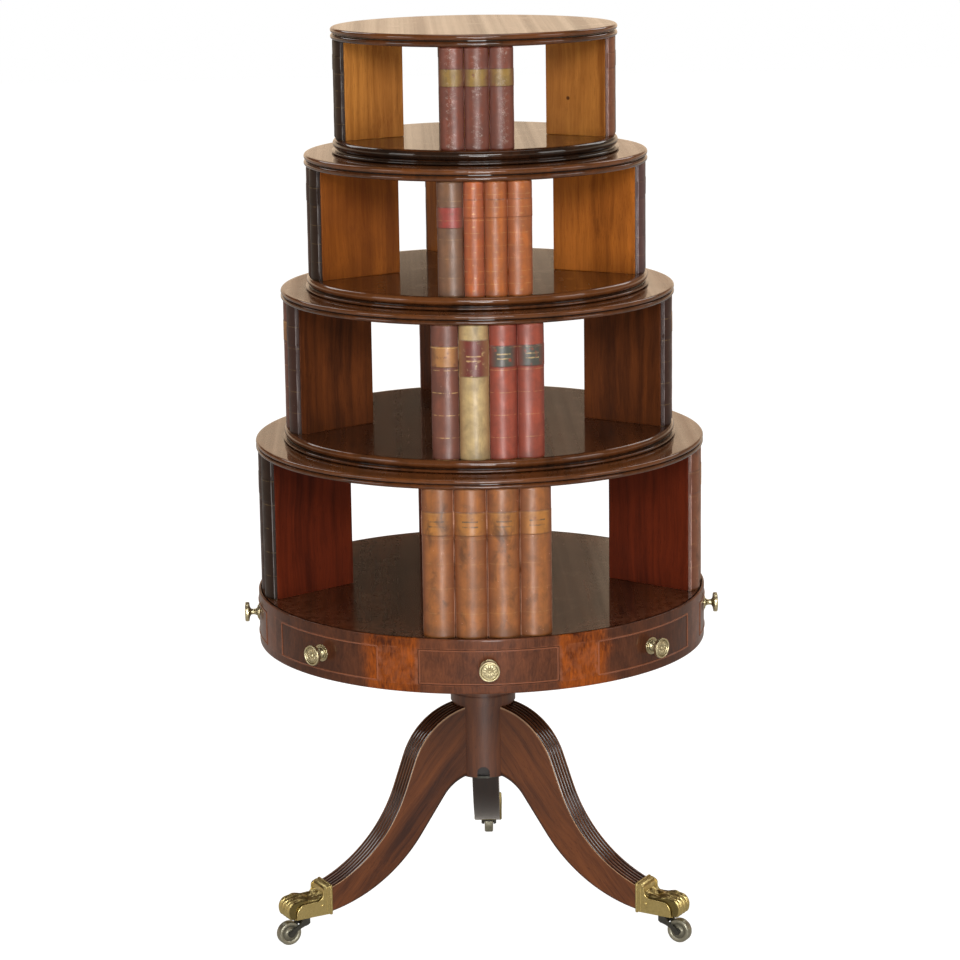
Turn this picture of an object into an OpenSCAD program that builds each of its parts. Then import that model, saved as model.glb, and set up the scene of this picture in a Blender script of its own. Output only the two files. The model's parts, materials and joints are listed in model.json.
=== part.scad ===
// Revolving bookcase: four round book tiers over a drum with drawers, on a tripod pedestal.
// Millimetres, +Z up. The origin is on the floor, on the axis that the tiers turn about,
// and the front is at -Y. Lists of tiers run from the top tier down to the tier on the drum.

/* [Tiers] */
// Radius of each tier's boards
tier_r = [199, 240, 277, 318]; // [150:1:400]
// Clear height between each tier's boards
tier_clear = [137, 154.5, 183, 205]; // [100:0.5:300]
// Thickness of each tier's top board
top_board_t = [16.5, 16.5, 13.5, 13]; // [8:0.5:30]
// Thickness of the base board under each of the three upper tiers
base_board_t = [19.5, 17.5, 17]; // [14:0.5:30]
// How far each tier stands turned, in degrees
tier_turn = [-0.7, 1.3, 1.2, 0]; // [-5:0.1:5]
// Height of the thin bead at the foot of a base board
foot_bead_h = 4; // [2:0.5:6]
// How far that bead stands out past the tier's radius
foot_bead_out = 1.5; // [0:0.5:4]
// Width of the sunk line between the nose and the bead of a base board
quirk_w = 1.5; // [0.5:0.5:4]

/* [Pillars and dummy books] */
// Radial depth of each tier's wedge pillars, from the rim to the inner corner
pillar_depth = [100, 132, 127, 134]; // [60:1:160]
// Thickness of the two side panels of a pillar
panel_t = 7; // [4:0.5:12]
// Glue joint between the panels and the backing of a pillar
pillar_joint = 0.1; // [0.05:0.05:0.5]
// Thickness of the curved backing that carries the book spines
backing_t = 8; // [4:0.5:14]
// Widths of the dummy book spines of the top tier, left to right
tier1_books = [33, 33, 33]; // [15:0.5:50]
// Widths of the dummy book spines of the second tier
tier2_books = [35.5, 27, 30.5, 34]; // [15:0.5:50]
// Widths of the dummy book spines of the third tier
tier3_books = [37, 40, 37, 37]; // [15:0.5:50]
// Widths of the dummy book spines of the bottom tier
tier4_books = [43.5, 43.5, 43.5, 43.5]; // [15:0.5:60]
// How far the crown of a spine lies inside the tier's rim
crown_inset = 2.5; // [0.5:0.5:15]
// Depth of a spine's flat sides
spine_side = 4; // [2:0.5:12]
// Joint between two neighbouring spines
spine_joint = 1; // [0.4:0.2:3]
// Shares of a spine's height at which its label starts, for each tier
label_from = [0.62, 0.6, 0.69, 0.69]; // [0.5:0.01:0.72]
// Shares of a spine's height at which its label ends, for each tier
label_to = [0.79, 0.78, 0.84, 0.845]; // [0.74:0.005:0.92]
// How far a label stands out of the spine
label_out = 0.4; // [0.2:0.1:1.5]
// Height of the caps at the head and tail of a spine
spine_cap_h = 2; // [1:0.5:6]
// How far the caps lie behind the spine
spine_cap_in = 0.8; // [0.2:0.1:2]

/* [Drum] */
// Radius of the drum
drum_r = 320; // [290:1:360]
// Height of the drum's underside above the floor
drum_z = 415; // [380:1:460]
// Height of the drum
drum_h = 76; // [60:1:110]
// Thickness of the drum's base
drum_base_t = 12; // [8:0.5:20]
// Thickness of the drum's top board
drum_top_t = 14.5; // [10:0.5:22]
// Radius of the drum's rounded edges
drum_edge_r = 2; // [0.5:0.5:4]
// Width of a drawer's opening, as a share of the drum's radius
drawer_share = 0.595; // [0.5:0.005:0.6]
// Thickness of a drawer's curved face
drawer_face_t = 18; // [12:1:26]
// Depth of the uprights between the drawers
stile_depth = 24; // [20:1:40]
// Distance from the drum's axis to the inner end of a drawer box
drawer_inner_r = 116; // [100:1:160]
// Height of a drawer box
drawer_box_h = 40; // [30:1:44]
// Thickness of a drawer box's sides and back
drawer_side_t = 8; // [5:0.5:10]
// Thickness of a drawer box's bottom
drawer_floor_t = 5; // [3:0.5:8]
// Width of the cock bead round a drawer face
cock_bead_w = 3; // [2:0.5:5]
// How far the cock bead stands out
cock_bead_out = 1.6; // [0.8:0.2:3]
// Gap between a drawer and its opening
drawer_gap = 0.6; // [0.4:0.1:1.5]
// Width of the rails that guide a drawer
guide_w = 12; // [8:1:14]
// Height of the rails that guide a drawer
guide_h = 18; // [10:1:30]

/* [Knobs] */
// Diameter of a knob's head
knob_d = 28; // [20:1:36]
// How far a knob stands out of the drum
knob_out = 21; // [15:0.5:30]
// Thickness of a knob's head
knob_head_t = 6; // [4:0.5:9]
// Diameter of a knob's round back plate
knob_plate_d = 24; // [16:1:32]
// Diameter of a knob's stem
knob_stem_d = 9; // [6:0.5:12]
// Radius of the turned rings on a knob's face and stem
knob_ring_r = 0.8; // [0.4:0.1:1.2]

/* [Spindle and bearings] */
// Diameter of the fixed spindle
spindle_d = 22; // [16:1:26]
// Radial running clearance of the spindle in its metal bearings
spindle_fit = 0.05; // [0.02:0.01:0.1]
// Radial clearance of the spindle in the boards
spindle_room = 0.6; // [0.4:0.1:2]
// Radius of the thrust plates under the drum
thrust_r = 62; // [50:1:75]
// Thickness of each thrust plate
thrust_t = 3; // [2:0.5:5]
// Radius of a tier bush's flange
bush_flange_r = 40; // [30:1:55]
// Thickness of a tier bush's flange
bush_flange_t = 3; // [2:0.5:5]
// Wall of a tier bush
bush_wall = 5; // [3:0.5:8]
// Gap between one tier's base board and the top board below it
tier_gap = 0.5; // [0.3:0.1:2]

/* [Column] */
// Diameter of the column
column_d = 90; // [80:1:110]
// Height of the column's foot above the floor
column_z = 208; // [195:1:215]
// Height of the turned band's lower edge above the floor
collar_z = 314; // [312:1:340]
// Height of the turned band
collar_h = 15; // [8:1:25]
// How far the turned band stands out of the column
collar_out = 2; // [1:0.5:5]
// Radius of the bearing block at the head of the column
block_r = 82; // [64:1:100]
// Thickness of the bearing block
block_t = 20; // [12:1:30]
// Width of the arched notches in the column's foot
notch_w = 18; // [10:1:22]
// Height of those notches
notch_h = 16; // [12:1:24]
// Depth of those notches
notch_depth = 14; // [6:1:20]
// Thickness of the iron plate under the column
brace_t = 3; // [2:0.5:5]

/* [Legs] */
// How far the tripod stands turned, in degrees
leg_turn = -2.7; // [-10:0.1:10]
// Thickness of a leg
leg_t = 40; // [32:1:46]
// Distance from the axis to the end of a leg
leg_end_r = 262; // [250:1:275]
// Height of a leg's top edge where it meets the column
knee_z = 312.5; // [305:0.5:313]
// Downward slope of the top edge there, in degrees
knee_slope = 11.3; // [5:0.1:18]
// Radius of the knee
knee_bend_r = 107; // [100:1:115]
// Slope of the straight part of the top edge, in degrees
shin_slope = 69.2; // [66:0.1:72]
// Length of the straight part of the top edge
shin_len = 48; // [40:1:56]
// Radius of the top edge's sweep to the foot
sweep_r = 206; // [195:1:220]
// Height of a leg's lower edge where it meets the column
arch_z = 206.7; // [200:0.1:213]
// Downward slope of the lower edge there, in degrees
arch_slope = 18; // [12:0.5:24]
// Radius of the lower edge's arch
arch_bend_r = 62.5; // [55:0.5:70]
// Slope of the straight part of the lower edge, in degrees
calf_slope = 53.5; // [51:0.1:56]
// Length of the straight part of the lower edge
calf_len = 64.4; // [58:0.1:70]
// Radius of the lower edge's sweep to the foot
under_r = 227.5; // [215:0.5:240]
// Number of reeds along the top of a leg
reed_count = 5; // [3:1:7]
// Width of the grooves between the reeds
groove_w = 2.6; // [1:0.1:4]
// Depth of the grooves between the reeds
reed_depth = 1.8; // [0.8:0.1:2.2]

/* [Paw caps and castors] */
// Length of a brass cap's collar
cap_collar_l = 11; // [8:1:16]
// How far the collar stands out round the leg
cap_collar_out = 2.2; // [1:0.1:4]
// How far a paw reaches past the castor's swivel axis
paw_reach = 32; // [28:1:38]
// Width of a paw
paw_w = 38; // [32:1:42]
// Height of a paw's underside above the floor
paw_z = 40; // [38:0.5:42]
// Height of a paw at its knuckles
paw_h = 28; // [24:0.5:34]
// Number of toes
toe_count = 4; // [3:1:5]
// How far the collar's two rims stand out of its band
rim_out = 1; // [0.4:0.1:1.6]
// Thickness of the plates on a paw's flanks
flank_t = 1.6; // [1:0.1:3]
// Diameter of a castor wheel
wheel_d = 34; // [28:1:36]
// Width of a castor wheel
wheel_w = 13; // [9:1:16]
// Distance from the end of a leg to the castor's swivel axis
swivel_out = 35; // [31:1:40]
// Distance from a castor's swivel axis to its axle
castor_trail = 24; // [22:1:28]
// Diameter of a castor's swivel pin
swivel_pin_d = 8; // [6:0.5:10]
// Diameter of a castor's axle
axle_d = 5; // [4:0.5:6]
// Thickness of a fork's horns
horn_t = 3; // [2:0.5:4]
// Radial running clearance of a castor's pins
castor_fit = 0.05; // [0.02:0.01:0.1]

/* [Hidden] */
$fn = 96;

mahogany = [0.32, 0.13, 0.07];
dark_mahogany = [0.2, 0.09, 0.06];
golden_mahogany = [0.5, 0.26, 0.1];
flame_mahogany = [0.55, 0.24, 0.08];
drawer_lining = [0.6, 0.45, 0.28];
brass = [0.62, 0.53, 0.27];
iron = [0.16, 0.15, 0.14];
steel = [0.45, 0.45, 0.46];
book_leather = [[0.38, 0.16, 0.12], [0.6, 0.34, 0.16], [0.5, 0.14, 0.09], [0.42, 0.24, 0.14]];
panel_colour = [golden_mahogany, golden_mahogany, mahogany, mahogany];

tier_books = [tier1_books, tier2_books, tier3_books, tier4_books];
last_tier = len(tier_r) - 1;
sides = ["left", "right", "back"];
leg_angle = [-150, -30, 90];
faces = ["front", "right", "back", "left"];
face_angle = [-90, 0, 90, 180];
margin = 1;

// Heights of the tiers, worked out from the drum upwards.
function floor_z(i) = i == last_tier ? drum_z + drum_h : top_z(i + 1) + tier_gap + base_board_t[i];
function ceiling_z(i) = floor_z(i) + tier_clear[i];
function top_z(i) = ceiling_z(i) + top_board_t[i];
function base_z(i) = floor_z(i) - base_board_t[i];

spindle_r = spindle_d / 2;
socket_depth = 8;
socket_room = 2;
spindle_top_z = ceiling_z(0) + socket_depth - socket_room;
spindle_foot_h = 30;
spindle_foot_z = column_z + spindle_foot_h;
thrust_z = drum_z - 2 * thrust_t;

// Half-round beads on a board's edge, two of them with a groove between.
module reeded_edge(r, t) {
    bead = t / 4;
    square([r - bead, t]);
    for (z = [bead, 3 * bead])
        translate([r - bead, z]) circle(bead);
}

// A board with a rounded nose over a sunk line and a thin bead.
module nosed_edge(r, t) {
    nose_h = t - foot_bead_h - quirk_w;
    nose_r = nose_h / 2;
    bead_r = foot_bead_h / 2;
    square([r + foot_bead_out - bead_r, foot_bead_h]);
    translate([r + foot_bead_out - bead_r, bead_r]) circle(bead_r);
    square([r - nose_r, t]);
    translate([r - nose_r, t - nose_r]) circle(nose_r);
}

module round_edged(r, t, edge) {
    square([r - edge, t]);
    square([r, t - edge]);
    translate([r - edge, t - edge]) circle(edge);
}

module ring_plan(outer, inner) {
    difference() {
        circle(outer);
        circle(inner);
    }
}

module spindle_hole(r, z0, z1) {
    translate([0, 0, z0 - margin]) cylinder(r = r, h = z1 - z0 + 2 * margin);
}

// Tiers

module tier_top(i) {
    color(dark_mahogany)
    difference() {
        translate([0, 0, ceiling_z(i)]) rotate_extrude() reeded_edge(tier_r[i], top_board_t[i]);
        if (i == 0)
            translate([0, 0, ceiling_z(i) - margin])
                cylinder(r = spindle_r + spindle_room, h = socket_depth + margin);
        else
            spindle_hole(spindle_r + spindle_room, ceiling_z(i), top_z(i));
    }
}

module tier_base(i) {
    flange_sink = bush_flange_t - tier_gap;
    color(dark_mahogany)
    difference() {
        translate([0, 0, base_z(i)]) rotate_extrude() nosed_edge(tier_r[i], base_board_t[i]);
        spindle_hole(spindle_r + spindle_fit + bush_wall, base_z(i), floor_z(i));
        translate([0, 0, base_z(i) - margin]) cylinder(r = bush_flange_r, h = flange_sink + margin);
    }
}

// Flanged bush: its flange is let into the base board and rides on the tier below.
module tier_bush(i) {
    bush_z = base_z(i) - tier_gap;
    color(brass)
    difference() {
        union() {
            translate([0, 0, bush_z]) cylinder(r = bush_flange_r, h = bush_flange_t);
            translate([0, 0, bush_z])
                cylinder(r = spindle_r + spindle_fit + bush_wall, h = base_board_t[i] + tier_gap);
        }
        spindle_hole(spindle_r + spindle_fit, bush_z, floor_z(i));
    }
}

// Dummy books. A spine is a shallow bow in plan, so its depth and bow come from its width.
bow_share = 0.22;
function bow(w) = bow_share * w;
function bow_r(w) = (w * w / 4 + bow(w) * bow(w)) / (2 * bow(w));
function crown_r(i) = tier_r[i] - crown_inset;
function back_r(i) = crown_r(i) - bow(max(tier_books[i])) - spine_side;
function book_arc(i, k) = 2 * atan(tier_books[i][k] / 2 / back_r(i));
function sum_to(i, k) = k < 0 ? 0 : book_arc(i, k) + sum_to(i, k - 1);
function stack_arc(i) = sum_to(i, len(tier_books[i]) - 1);
function book_angle(i, k) = sum_to(i, k) - book_arc(i, k) / 2 - stack_arc(i) / 2;

module spine_plan(i, w, out) {
    half = (w - spine_joint) / 2;
    intersection() {
        translate([crown_r(i) - bow_r(w), 0]) circle(bow_r(w) + out);
        translate([back_r(i), -half]) square([tier_r[i], 2 * half]);
    }
}

module spine(i, w) {
    room = 0.3;
    h = tier_clear[i] - room;
    linear_extrude(h) spine_plan(i, w, -spine_cap_in);
    translate([0, 0, spine_cap_h]) linear_extrude(h - 2 * spine_cap_h) spine_plan(i, w, 0);
    translate([0, 0, h * label_from[i]])
        linear_extrude(h * (label_to[i] - label_from[i])) spine_plan(i, w, label_out);
}

module tier_books_all(i) {
    color(book_leather[i])
    translate([0, 0, floor_z(i)])
    for (side = face_angle, k = [0:len(tier_books[i]) - 1])
        rotate(side + tier_turn[i] + book_angle(i, k))
            spine(i, tier_books[i][k]);
}

// Wedge pillars: two side panels that meet at an inner corner, closed by a curved backing.
function inner_r(i) = tier_r[i] - pillar_depth[i];
function rim_point(i) = back_r(i) * [cos(stack_arc(i) / 2), sin(stack_arc(i) / 2)];
function wedge_angle(i) = atan2(rim_point(i)[1], rim_point(i)[0] - inner_r(i));
function panel_inside_r(i) = inner_r(i) + panel_t / sin(wedge_angle(i));

module wedge_plan(i, corner_r) {
    run = tier_r[i];
    tip = run * [cos(wedge_angle(i)), sin(wedge_angle(i))];
    polygon([[corner_r, 0], [corner_r + tip[0], tip[1]], [corner_r + tip[0], -tip[1]]]);
}

module side_panel_plan(i) {
    intersection() {
        circle(back_r(i));
        translate([0, pillar_joint / 2]) square(tier_r[i]);
        difference() {
            wedge_plan(i, inner_r(i));
            wedge_plan(i, panel_inside_r(i));
        }
    }
}

module backing_plan(i) {
    intersection() {
        ring_plan(back_r(i), back_r(i) - backing_t);
        wedge_plan(i, panel_inside_r(i) + pillar_joint / sin(wedge_angle(i)));
    }
}

module tier_pillars(i) {
    color(panel_colour[i])
    translate([0, 0, floor_z(i)])
    for (side = face_angle)
        rotate(side + tier_turn[i])
            linear_extrude(tier_clear[i]) {
                side_panel_plan(i);
                mirror([0, 1]) side_panel_plan(i);
                backing_plan(i);
            }
}

// Drum

opening_z = drum_z + drum_base_t;
opening_h = drum_h - drum_base_t - drum_top_t;
knob_z = opening_z + opening_h / 2;
drawer_w = drawer_share * drum_r;
sham_angle = [-45, 45, 135, 225];
stile_r = drum_r - stile_depth;

module drum_base() {
    color(mahogany)
    difference() {
        translate([0, 0, opening_z]) mirror([0, 0, 1])
            rotate_extrude() round_edged(drum_r, drum_base_t, drum_edge_r);
        spindle_hole(spindle_r + spindle_room, drum_z, opening_z);
    }
}

module drum_top() {
    top_z0 = opening_z + opening_h;
    color(dark_mahogany)
    difference() {
        translate([0, 0, top_z0]) rotate_extrude() round_edged(drum_r, drum_top_t, drum_edge_r);
        spindle_hole(spindle_r + spindle_room, top_z0, drum_z + drum_h);
    }
}

// The strip that a drawer of width w takes up, from the axis outwards.
module drawer_strip(w) {
    translate([0, -w / 2]) square([2 * drum_r, w]);
}

module drum_stiles() {
    color(flame_mahogany)
    translate([0, 0, opening_z]) linear_extrude(opening_h)
    difference() {
        ring_plan(drum_r, stile_r);
        for (a = concat(face_angle, sham_angle))
            rotate(a) drawer_strip(drawer_w);
    }
}

// Curved drawer face with its raised cock bead, at angle 0.
module drawer_face(w, h) {
    linear_extrude(h)
        intersection() {
            ring_plan(drum_r, drum_r - drawer_face_t);
            drawer_strip(w);
        }
    difference() {
        linear_extrude(h)
            intersection() {
                ring_plan(drum_r + cock_bead_out, drum_r - cock_bead_out);
                drawer_strip(w);
            }
        translate([0, 0, cock_bead_w])
            linear_extrude(h - 2 * cock_bead_w) drawer_strip(w - 2 * cock_bead_w);
    }
}

module real_drawer_face(a) {
    color(mahogany)
    translate([0, 0, opening_z + drawer_gap]) rotate(a)
        drawer_face(drawer_w - 2 * drawer_gap, opening_h - 2 * drawer_gap);
}

module sham_fronts() {
    color(mahogany)
    translate([0, 0, opening_z])
    for (a = sham_angle)
        rotate(a) drawer_face(drawer_w, opening_h);
}

// Open tray behind a drawer face. It slides on the drum's base between two guide rails.
slide_gap = 0.3;
guide_lap = 0.1;
box_z = opening_z + slide_gap;
drawer_box_w = drawer_w - 2 * (guide_w + slide_gap - guide_lap);

module drawer_box(a) {
    color(drawer_lining)
    translate([0, 0, box_z]) rotate(a)
    difference() {
        linear_extrude(drawer_box_h)
            intersection() {
                circle(drum_r - drawer_face_t);
                translate([drawer_inner_r, -drawer_box_w / 2]) square([drum_r, drawer_box_w]);
            }
        translate([drawer_inner_r + drawer_side_t, drawer_side_t - drawer_box_w / 2, drawer_floor_t])
            cube([drum_r, drawer_box_w - 2 * drawer_side_t, drawer_box_h]);
    }
}

module drawer_guides() {
    rail_y = drawer_box_w / 2 + slide_gap;
    rail_reach = sqrt(pow(stile_r, 2) - pow(rail_y + guide_w, 2));
    color(drawer_lining)
    translate([0, 0, opening_z])
    for (a = face_angle)
        rotate(a)
            for (side = [0, 1])
                mirror([0, side])
                    translate([drawer_inner_r, rail_y, 0])
                        cube([rail_reach - drawer_inner_r, guide_w, guide_h]);
}

// Turned knob: back plate, stem and a dished head with a raised rim, along +X from the drum.
module knob() {
    head_r = knob_d / 2;
    plate_r = knob_plate_d / 2;
    stem_r = knob_stem_d / 2;
    plate_t = 2;
    rim_r = 1.2;
    dish = 1.5;
    boss_r = 3;
    face_r = head_r - 2 * rim_r - boss_r;
    translate([drum_r, 0, 0]) rotate([0, 90, 0])
    rotate_extrude() {
        square([plate_r, plate_t]);
        square([plate_r - plate_t, 2 * plate_t]);
        square([stem_r, knob_out - dish]);
        translate([stem_r, (2 * plate_t + knob_out - knob_head_t) / 2]) circle(knob_ring_r);
        for (ring = [face_r / 3, face_r * 2 / 3])
            translate([boss_r + ring, knob_out - dish]) circle(knob_ring_r);
        translate([0, knob_out - knob_head_t]) square([head_r - rim_r, knob_head_t - dish]);
        translate([head_r - rim_r, knob_out - knob_head_t + rim_r])
            square([rim_r, knob_head_t - 2 * rim_r]);
        translate([head_r - rim_r, knob_out - rim_r]) circle(rim_r);
        translate([head_r - rim_r, knob_out - knob_head_t + rim_r]) circle(rim_r);
        intersection() {
            translate([0, knob_out - boss_r]) circle(boss_r);
            translate([0, knob_out - boss_r]) square(2 * boss_r);
        }
    }
}

module drawer_knob(a) {
    color(brass) translate([0, 0, knob_z]) rotate(a) knob();
}

module sham_knobs() {
    for (a = sham_angle) drawer_knob(a);
}

// Bearings

module thrust_plate(z, bore_r) {
    difference() {
        translate([0, 0, z]) cylinder(r = thrust_r, h = thrust_t);
        spindle_hole(bore_r, z, z + thrust_t);
    }
}

module bearing_plate() {
    color(iron) thrust_plate(thrust_z, spindle_r + spindle_fit);
}

module turntable_plate() {
    color(brass) thrust_plate(thrust_z + thrust_t, spindle_r + spindle_fit);
}

module spindle() {
    tip = 2;
    color(steel)
    translate([0, 0, spindle_foot_z])
    rotate_extrude() {
        square([spindle_r, spindle_top_z - spindle_foot_z - tip]);
        square([spindle_r - tip, spindle_top_z - spindle_foot_z]);
    }
}

// Pedestal. A leg is drawn flat, with x outwards from the axis and y upwards, and then stood up.

column_r = column_d / 2;
joint_fit = 0.05;
tongue_depth = 14;
tongue_neck = 18;
tongue_tail = 26;
tongue_drop = 14;
tongue_top_z = knee_z - tongue_drop;

module stand_up(i) {
    rotate(leg_angle[i] + leg_turn) rotate([90, 0, 0]) children();
}

function heading(slope) = [cos(slope), -sin(slope)];
function normal(slope) = [sin(slope), cos(slope)];

// Top edge: the knee, a straight shin and a sweep out to the foot.
knee_c = [column_r, knee_z] - knee_bend_r * normal(knee_slope);
knee_end = knee_c + knee_bend_r * normal(shin_slope);
shin_end = knee_end + shin_len * heading(shin_slope);
sweep_c = shin_end + sweep_r * normal(shin_slope);

// Lower edge: the arch at the column, a straight calf and a sweep out to the foot.
arch_c = [column_r, arch_z] - arch_bend_r * normal(arch_slope);
arch_end = arch_c + arch_bend_r * normal(calf_slope);
calf_end = arch_end + calf_len * heading(calf_slope);
under_c = calf_end + under_r * normal(calf_slope);

function on_arc(c, r, x) = [x, c[1] - sqrt(r * r - pow(x - c[0], 2))];
foot_top = on_arc(sweep_c, sweep_r, leg_end_r);
foot_low = on_arc(under_c, under_r, leg_end_r);

module slab(t) {
    linear_extrude(t, center = true) children();
}

// Points along an arc, from slope a to slope b. side is 1 for an arc that bulges up and -1 for one
// that bulges down, and the slopes are those of the edge, in degrees below level.
arc_step = 3;
function arc_points(c, r, a, b, side) =
    let (count = ceil(abs(b - a) / arc_step))
    [for (k = [0:count]) c + side * r * normal(a + (b - a) * k / count)];

// A slice of a leg, t thick, with its top edge lowered by drop and its lower edge raised by lift.
// It runs on into the column, which is cut out of it later.
lead_in = 12;
lead_slope = asin(lead_in / knee_bend_r);
function slope_at(c, r, x) = asin((c[0] - x) / r);

module leg_slice(t, drop, lift) {
    top_r = sweep_r + drop;
    low_r = under_r - lift;
    slab(t) polygon(concat(
        arc_points(knee_c, knee_bend_r - drop, knee_slope - lead_slope, shin_slope, 1),
        arc_points(sweep_c, top_r, shin_slope, slope_at(sweep_c, top_r, leg_end_r), -1),
        arc_points(under_c, low_r, slope_at(under_c, low_r, leg_end_r), calf_slope, -1),
        arc_points(arch_c, arch_bend_r + lift, calf_slope, arch_slope, 1),
        [[column_r - lead_in, arch_z + lift]]
    ));
}

// The whole leg before it is fitted: a body as deep as the grooves, and the reeds that stand on it.
module reeded_leg() {
    pitch = leg_t / reed_count;
    reed_root = 8;
    leg_slice(leg_t, reed_depth, 0);
    for (k = [1:reed_count])
        translate([0, 0, (k - (reed_count + 1) / 2) * pitch])
            leg_slice(pitch - groove_w, 0, reed_root);
}

module tongue_plan(fit) {
    polygon([
        [column_r + margin, -tongue_neck / 2 - fit], [column_r + margin, tongue_neck / 2 + fit],
        [column_r - tongue_depth - fit, tongue_tail / 2 + fit],
        [column_r - tongue_depth - fit, -tongue_tail / 2 - fit]
    ]);
}

// Tenon that goes into the brass cap.
tenon_l = 14;
tenon_w = 30;
tenon_drop = 4;
tenon_rise = 2;
tenon_top = foot_top[1] - tenon_drop;
tenon_low = foot_low[1] + tenon_rise;

module leg(i) {
    color(mahogany) {
        difference() {
            stand_up(i)
            difference() {
                reeded_leg();
                translate([leg_end_r, 0, -leg_t]) cube([leg_t, knee_z, 2 * leg_t]);
            }
            translate([0, 0, arch_z - knee_z]) cylinder(r = column_r + joint_fit, h = 2 * knee_z);
        }
        rotate(leg_angle[i] + leg_turn)
            translate([0, 0, column_z])
                linear_extrude(tongue_top_z - column_z) tongue_plan(0);
        stand_up(i)
            translate([leg_end_r - margin, tenon_low, -tenon_w / 2])
                cube([tenon_l + margin, tenon_top - tenon_low, tenon_w]);
    }
}

module column() {
    block_z = thrust_z - block_t;
    block_edge_r = 3;
    collar_step = 1;
    color(mahogany)
    difference() {
        union() {
            translate([0, 0, column_z]) cylinder(r = column_r, h = thrust_z - column_z);
            translate([0, 0, collar_z]) rotate_extrude() {
                square([column_r + collar_out - collar_step, collar_h]);
                translate([0, collar_step]) square([column_r + collar_out, collar_h - 2 * collar_step]);
            }
            translate([0, 0, block_z]) rotate_extrude() round_edged(block_r, block_t, block_edge_r);
        }
        translate([0, 0, spindle_foot_z]) cylinder(r = spindle_r + joint_fit, h = thrust_z);
        for (i = [0:2]) rotate(leg_angle[i] + leg_turn) {
            translate([0, 0, column_z - margin])
                linear_extrude(tongue_top_z - column_z + margin + joint_fit) tongue_plan(joint_fit);
            rotate(60) translate([column_r - notch_depth, 0, column_z + notch_h - notch_w / 2]) {
                rotate([0, 90, 0]) cylinder(d = notch_w, h = column_r);
                translate([0, -notch_w / 2, -notch_h]) cube([column_r, notch_w, notch_h]);
            }
        }
    }
}

// Iron plate that closes the leg slots, and its countersunk screws.
brace_inset = 6;
brace_r = column_r - brace_inset;
brace_z = column_z - brace_t;
brace_screw_r = 24;
brace_screw_d = 5;

module brace_plate() {
    color(iron)
    difference() {
        translate([0, 0, brace_z]) cylinder(r = brace_r, h = brace_t);
        for (i = [0:2]) rotate(leg_angle[i] + leg_turn + 60)
            translate([brace_screw_r, 0, 0]) spindle_hole(brace_screw_d / 2, brace_z, column_z);
    }
}

module brace_screws() {
    head_t = 2;
    color(steel)
    for (i = [0:2]) rotate(leg_angle[i] + leg_turn + 60)
        translate([brace_screw_r, 0, brace_z]) {
            cylinder(d = brace_screw_d - 2 * joint_fit, h = brace_t);
            translate([0, 0, -head_t]) cylinder(d = 2 * brace_screw_d, h = head_t);
        }
}

// Brass cap: a collar round the leg's end and a paw with cut toes, drawn flat as the leg is.
collar_top = foot_top[1] + cap_collar_out;
collar_low = min(foot_low[1] - cap_collar_out, paw_z);
collar_half = leg_t / 2 + cap_collar_out;
swivel_r = leg_end_r + swivel_out;
paw_start = leg_end_r + cap_collar_l;
nose_x = swivel_r + paw_reach;
rim_t = 2.4;
corner_step = 9;

module paw_outline() {
    nose_r = paw_h / 2;
    knuckle_r = paw_h * 0.42;
    heel = 6;
    polygon([
        [paw_start - margin, paw_z], [nose_x - nose_r, paw_z], [nose_x - nose_r, paw_z + paw_h * 0.8],
        [paw_start + heel, paw_z + paw_h * 0.86], [paw_start - margin, paw_z + paw_h * 1.1]
    ]);
    translate([nose_x - nose_r, paw_z + nose_r]) circle(nose_r);
    translate([nose_x - 2 * nose_r, paw_z + paw_h - knuckle_r]) circle(knuckle_r);
    translate([nose_x - nose_r, paw_z]) square([nose_r * 0.7, nose_r]);
}

// Flat plate on each flank of a paw, with a quarter-round front corner.
module flank_outline() {
    flank_x = nose_x - paw_h / 2;
    corner_r = paw_h / 2;
    polygon(concat(
        [[paw_start - margin, paw_z], [flank_x, paw_z]],
        [for (a = [0:corner_step:90])
            [flank_x - corner_r, paw_z + paw_h * 0.78 - corner_r] + corner_r * [cos(a), sin(a)]],
        [[paw_start - margin, paw_z + paw_h]]
    ));
}

module toe_cuts() {
    pitch = (paw_w - 2 * flank_t) / toe_count;
    cut_r = 1.6;
    cut_l = 16;
    for (k = [1:toe_count - 1])
        translate([nose_x - cut_l, paw_z - margin, k * pitch + flank_t - paw_w / 2]) {
            translate([cut_l - cut_r, 0, 0]) rotate([-90, 0, 0]) cylinder(r = cut_r, h = 2 * paw_h);
            translate([0, paw_h - cut_r + margin, 0]) rotate([0, 90, 0]) cylinder(r = cut_r, h = 2 * cut_l);
        }
}

paw_screw_d = 6;
paw_screw_in = 9;
paw_screw_taper = 1;
paw_screw_x = paw_start + paw_screw_in;
paw_screw_y = paw_z + paw_h * 0.55;

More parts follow.
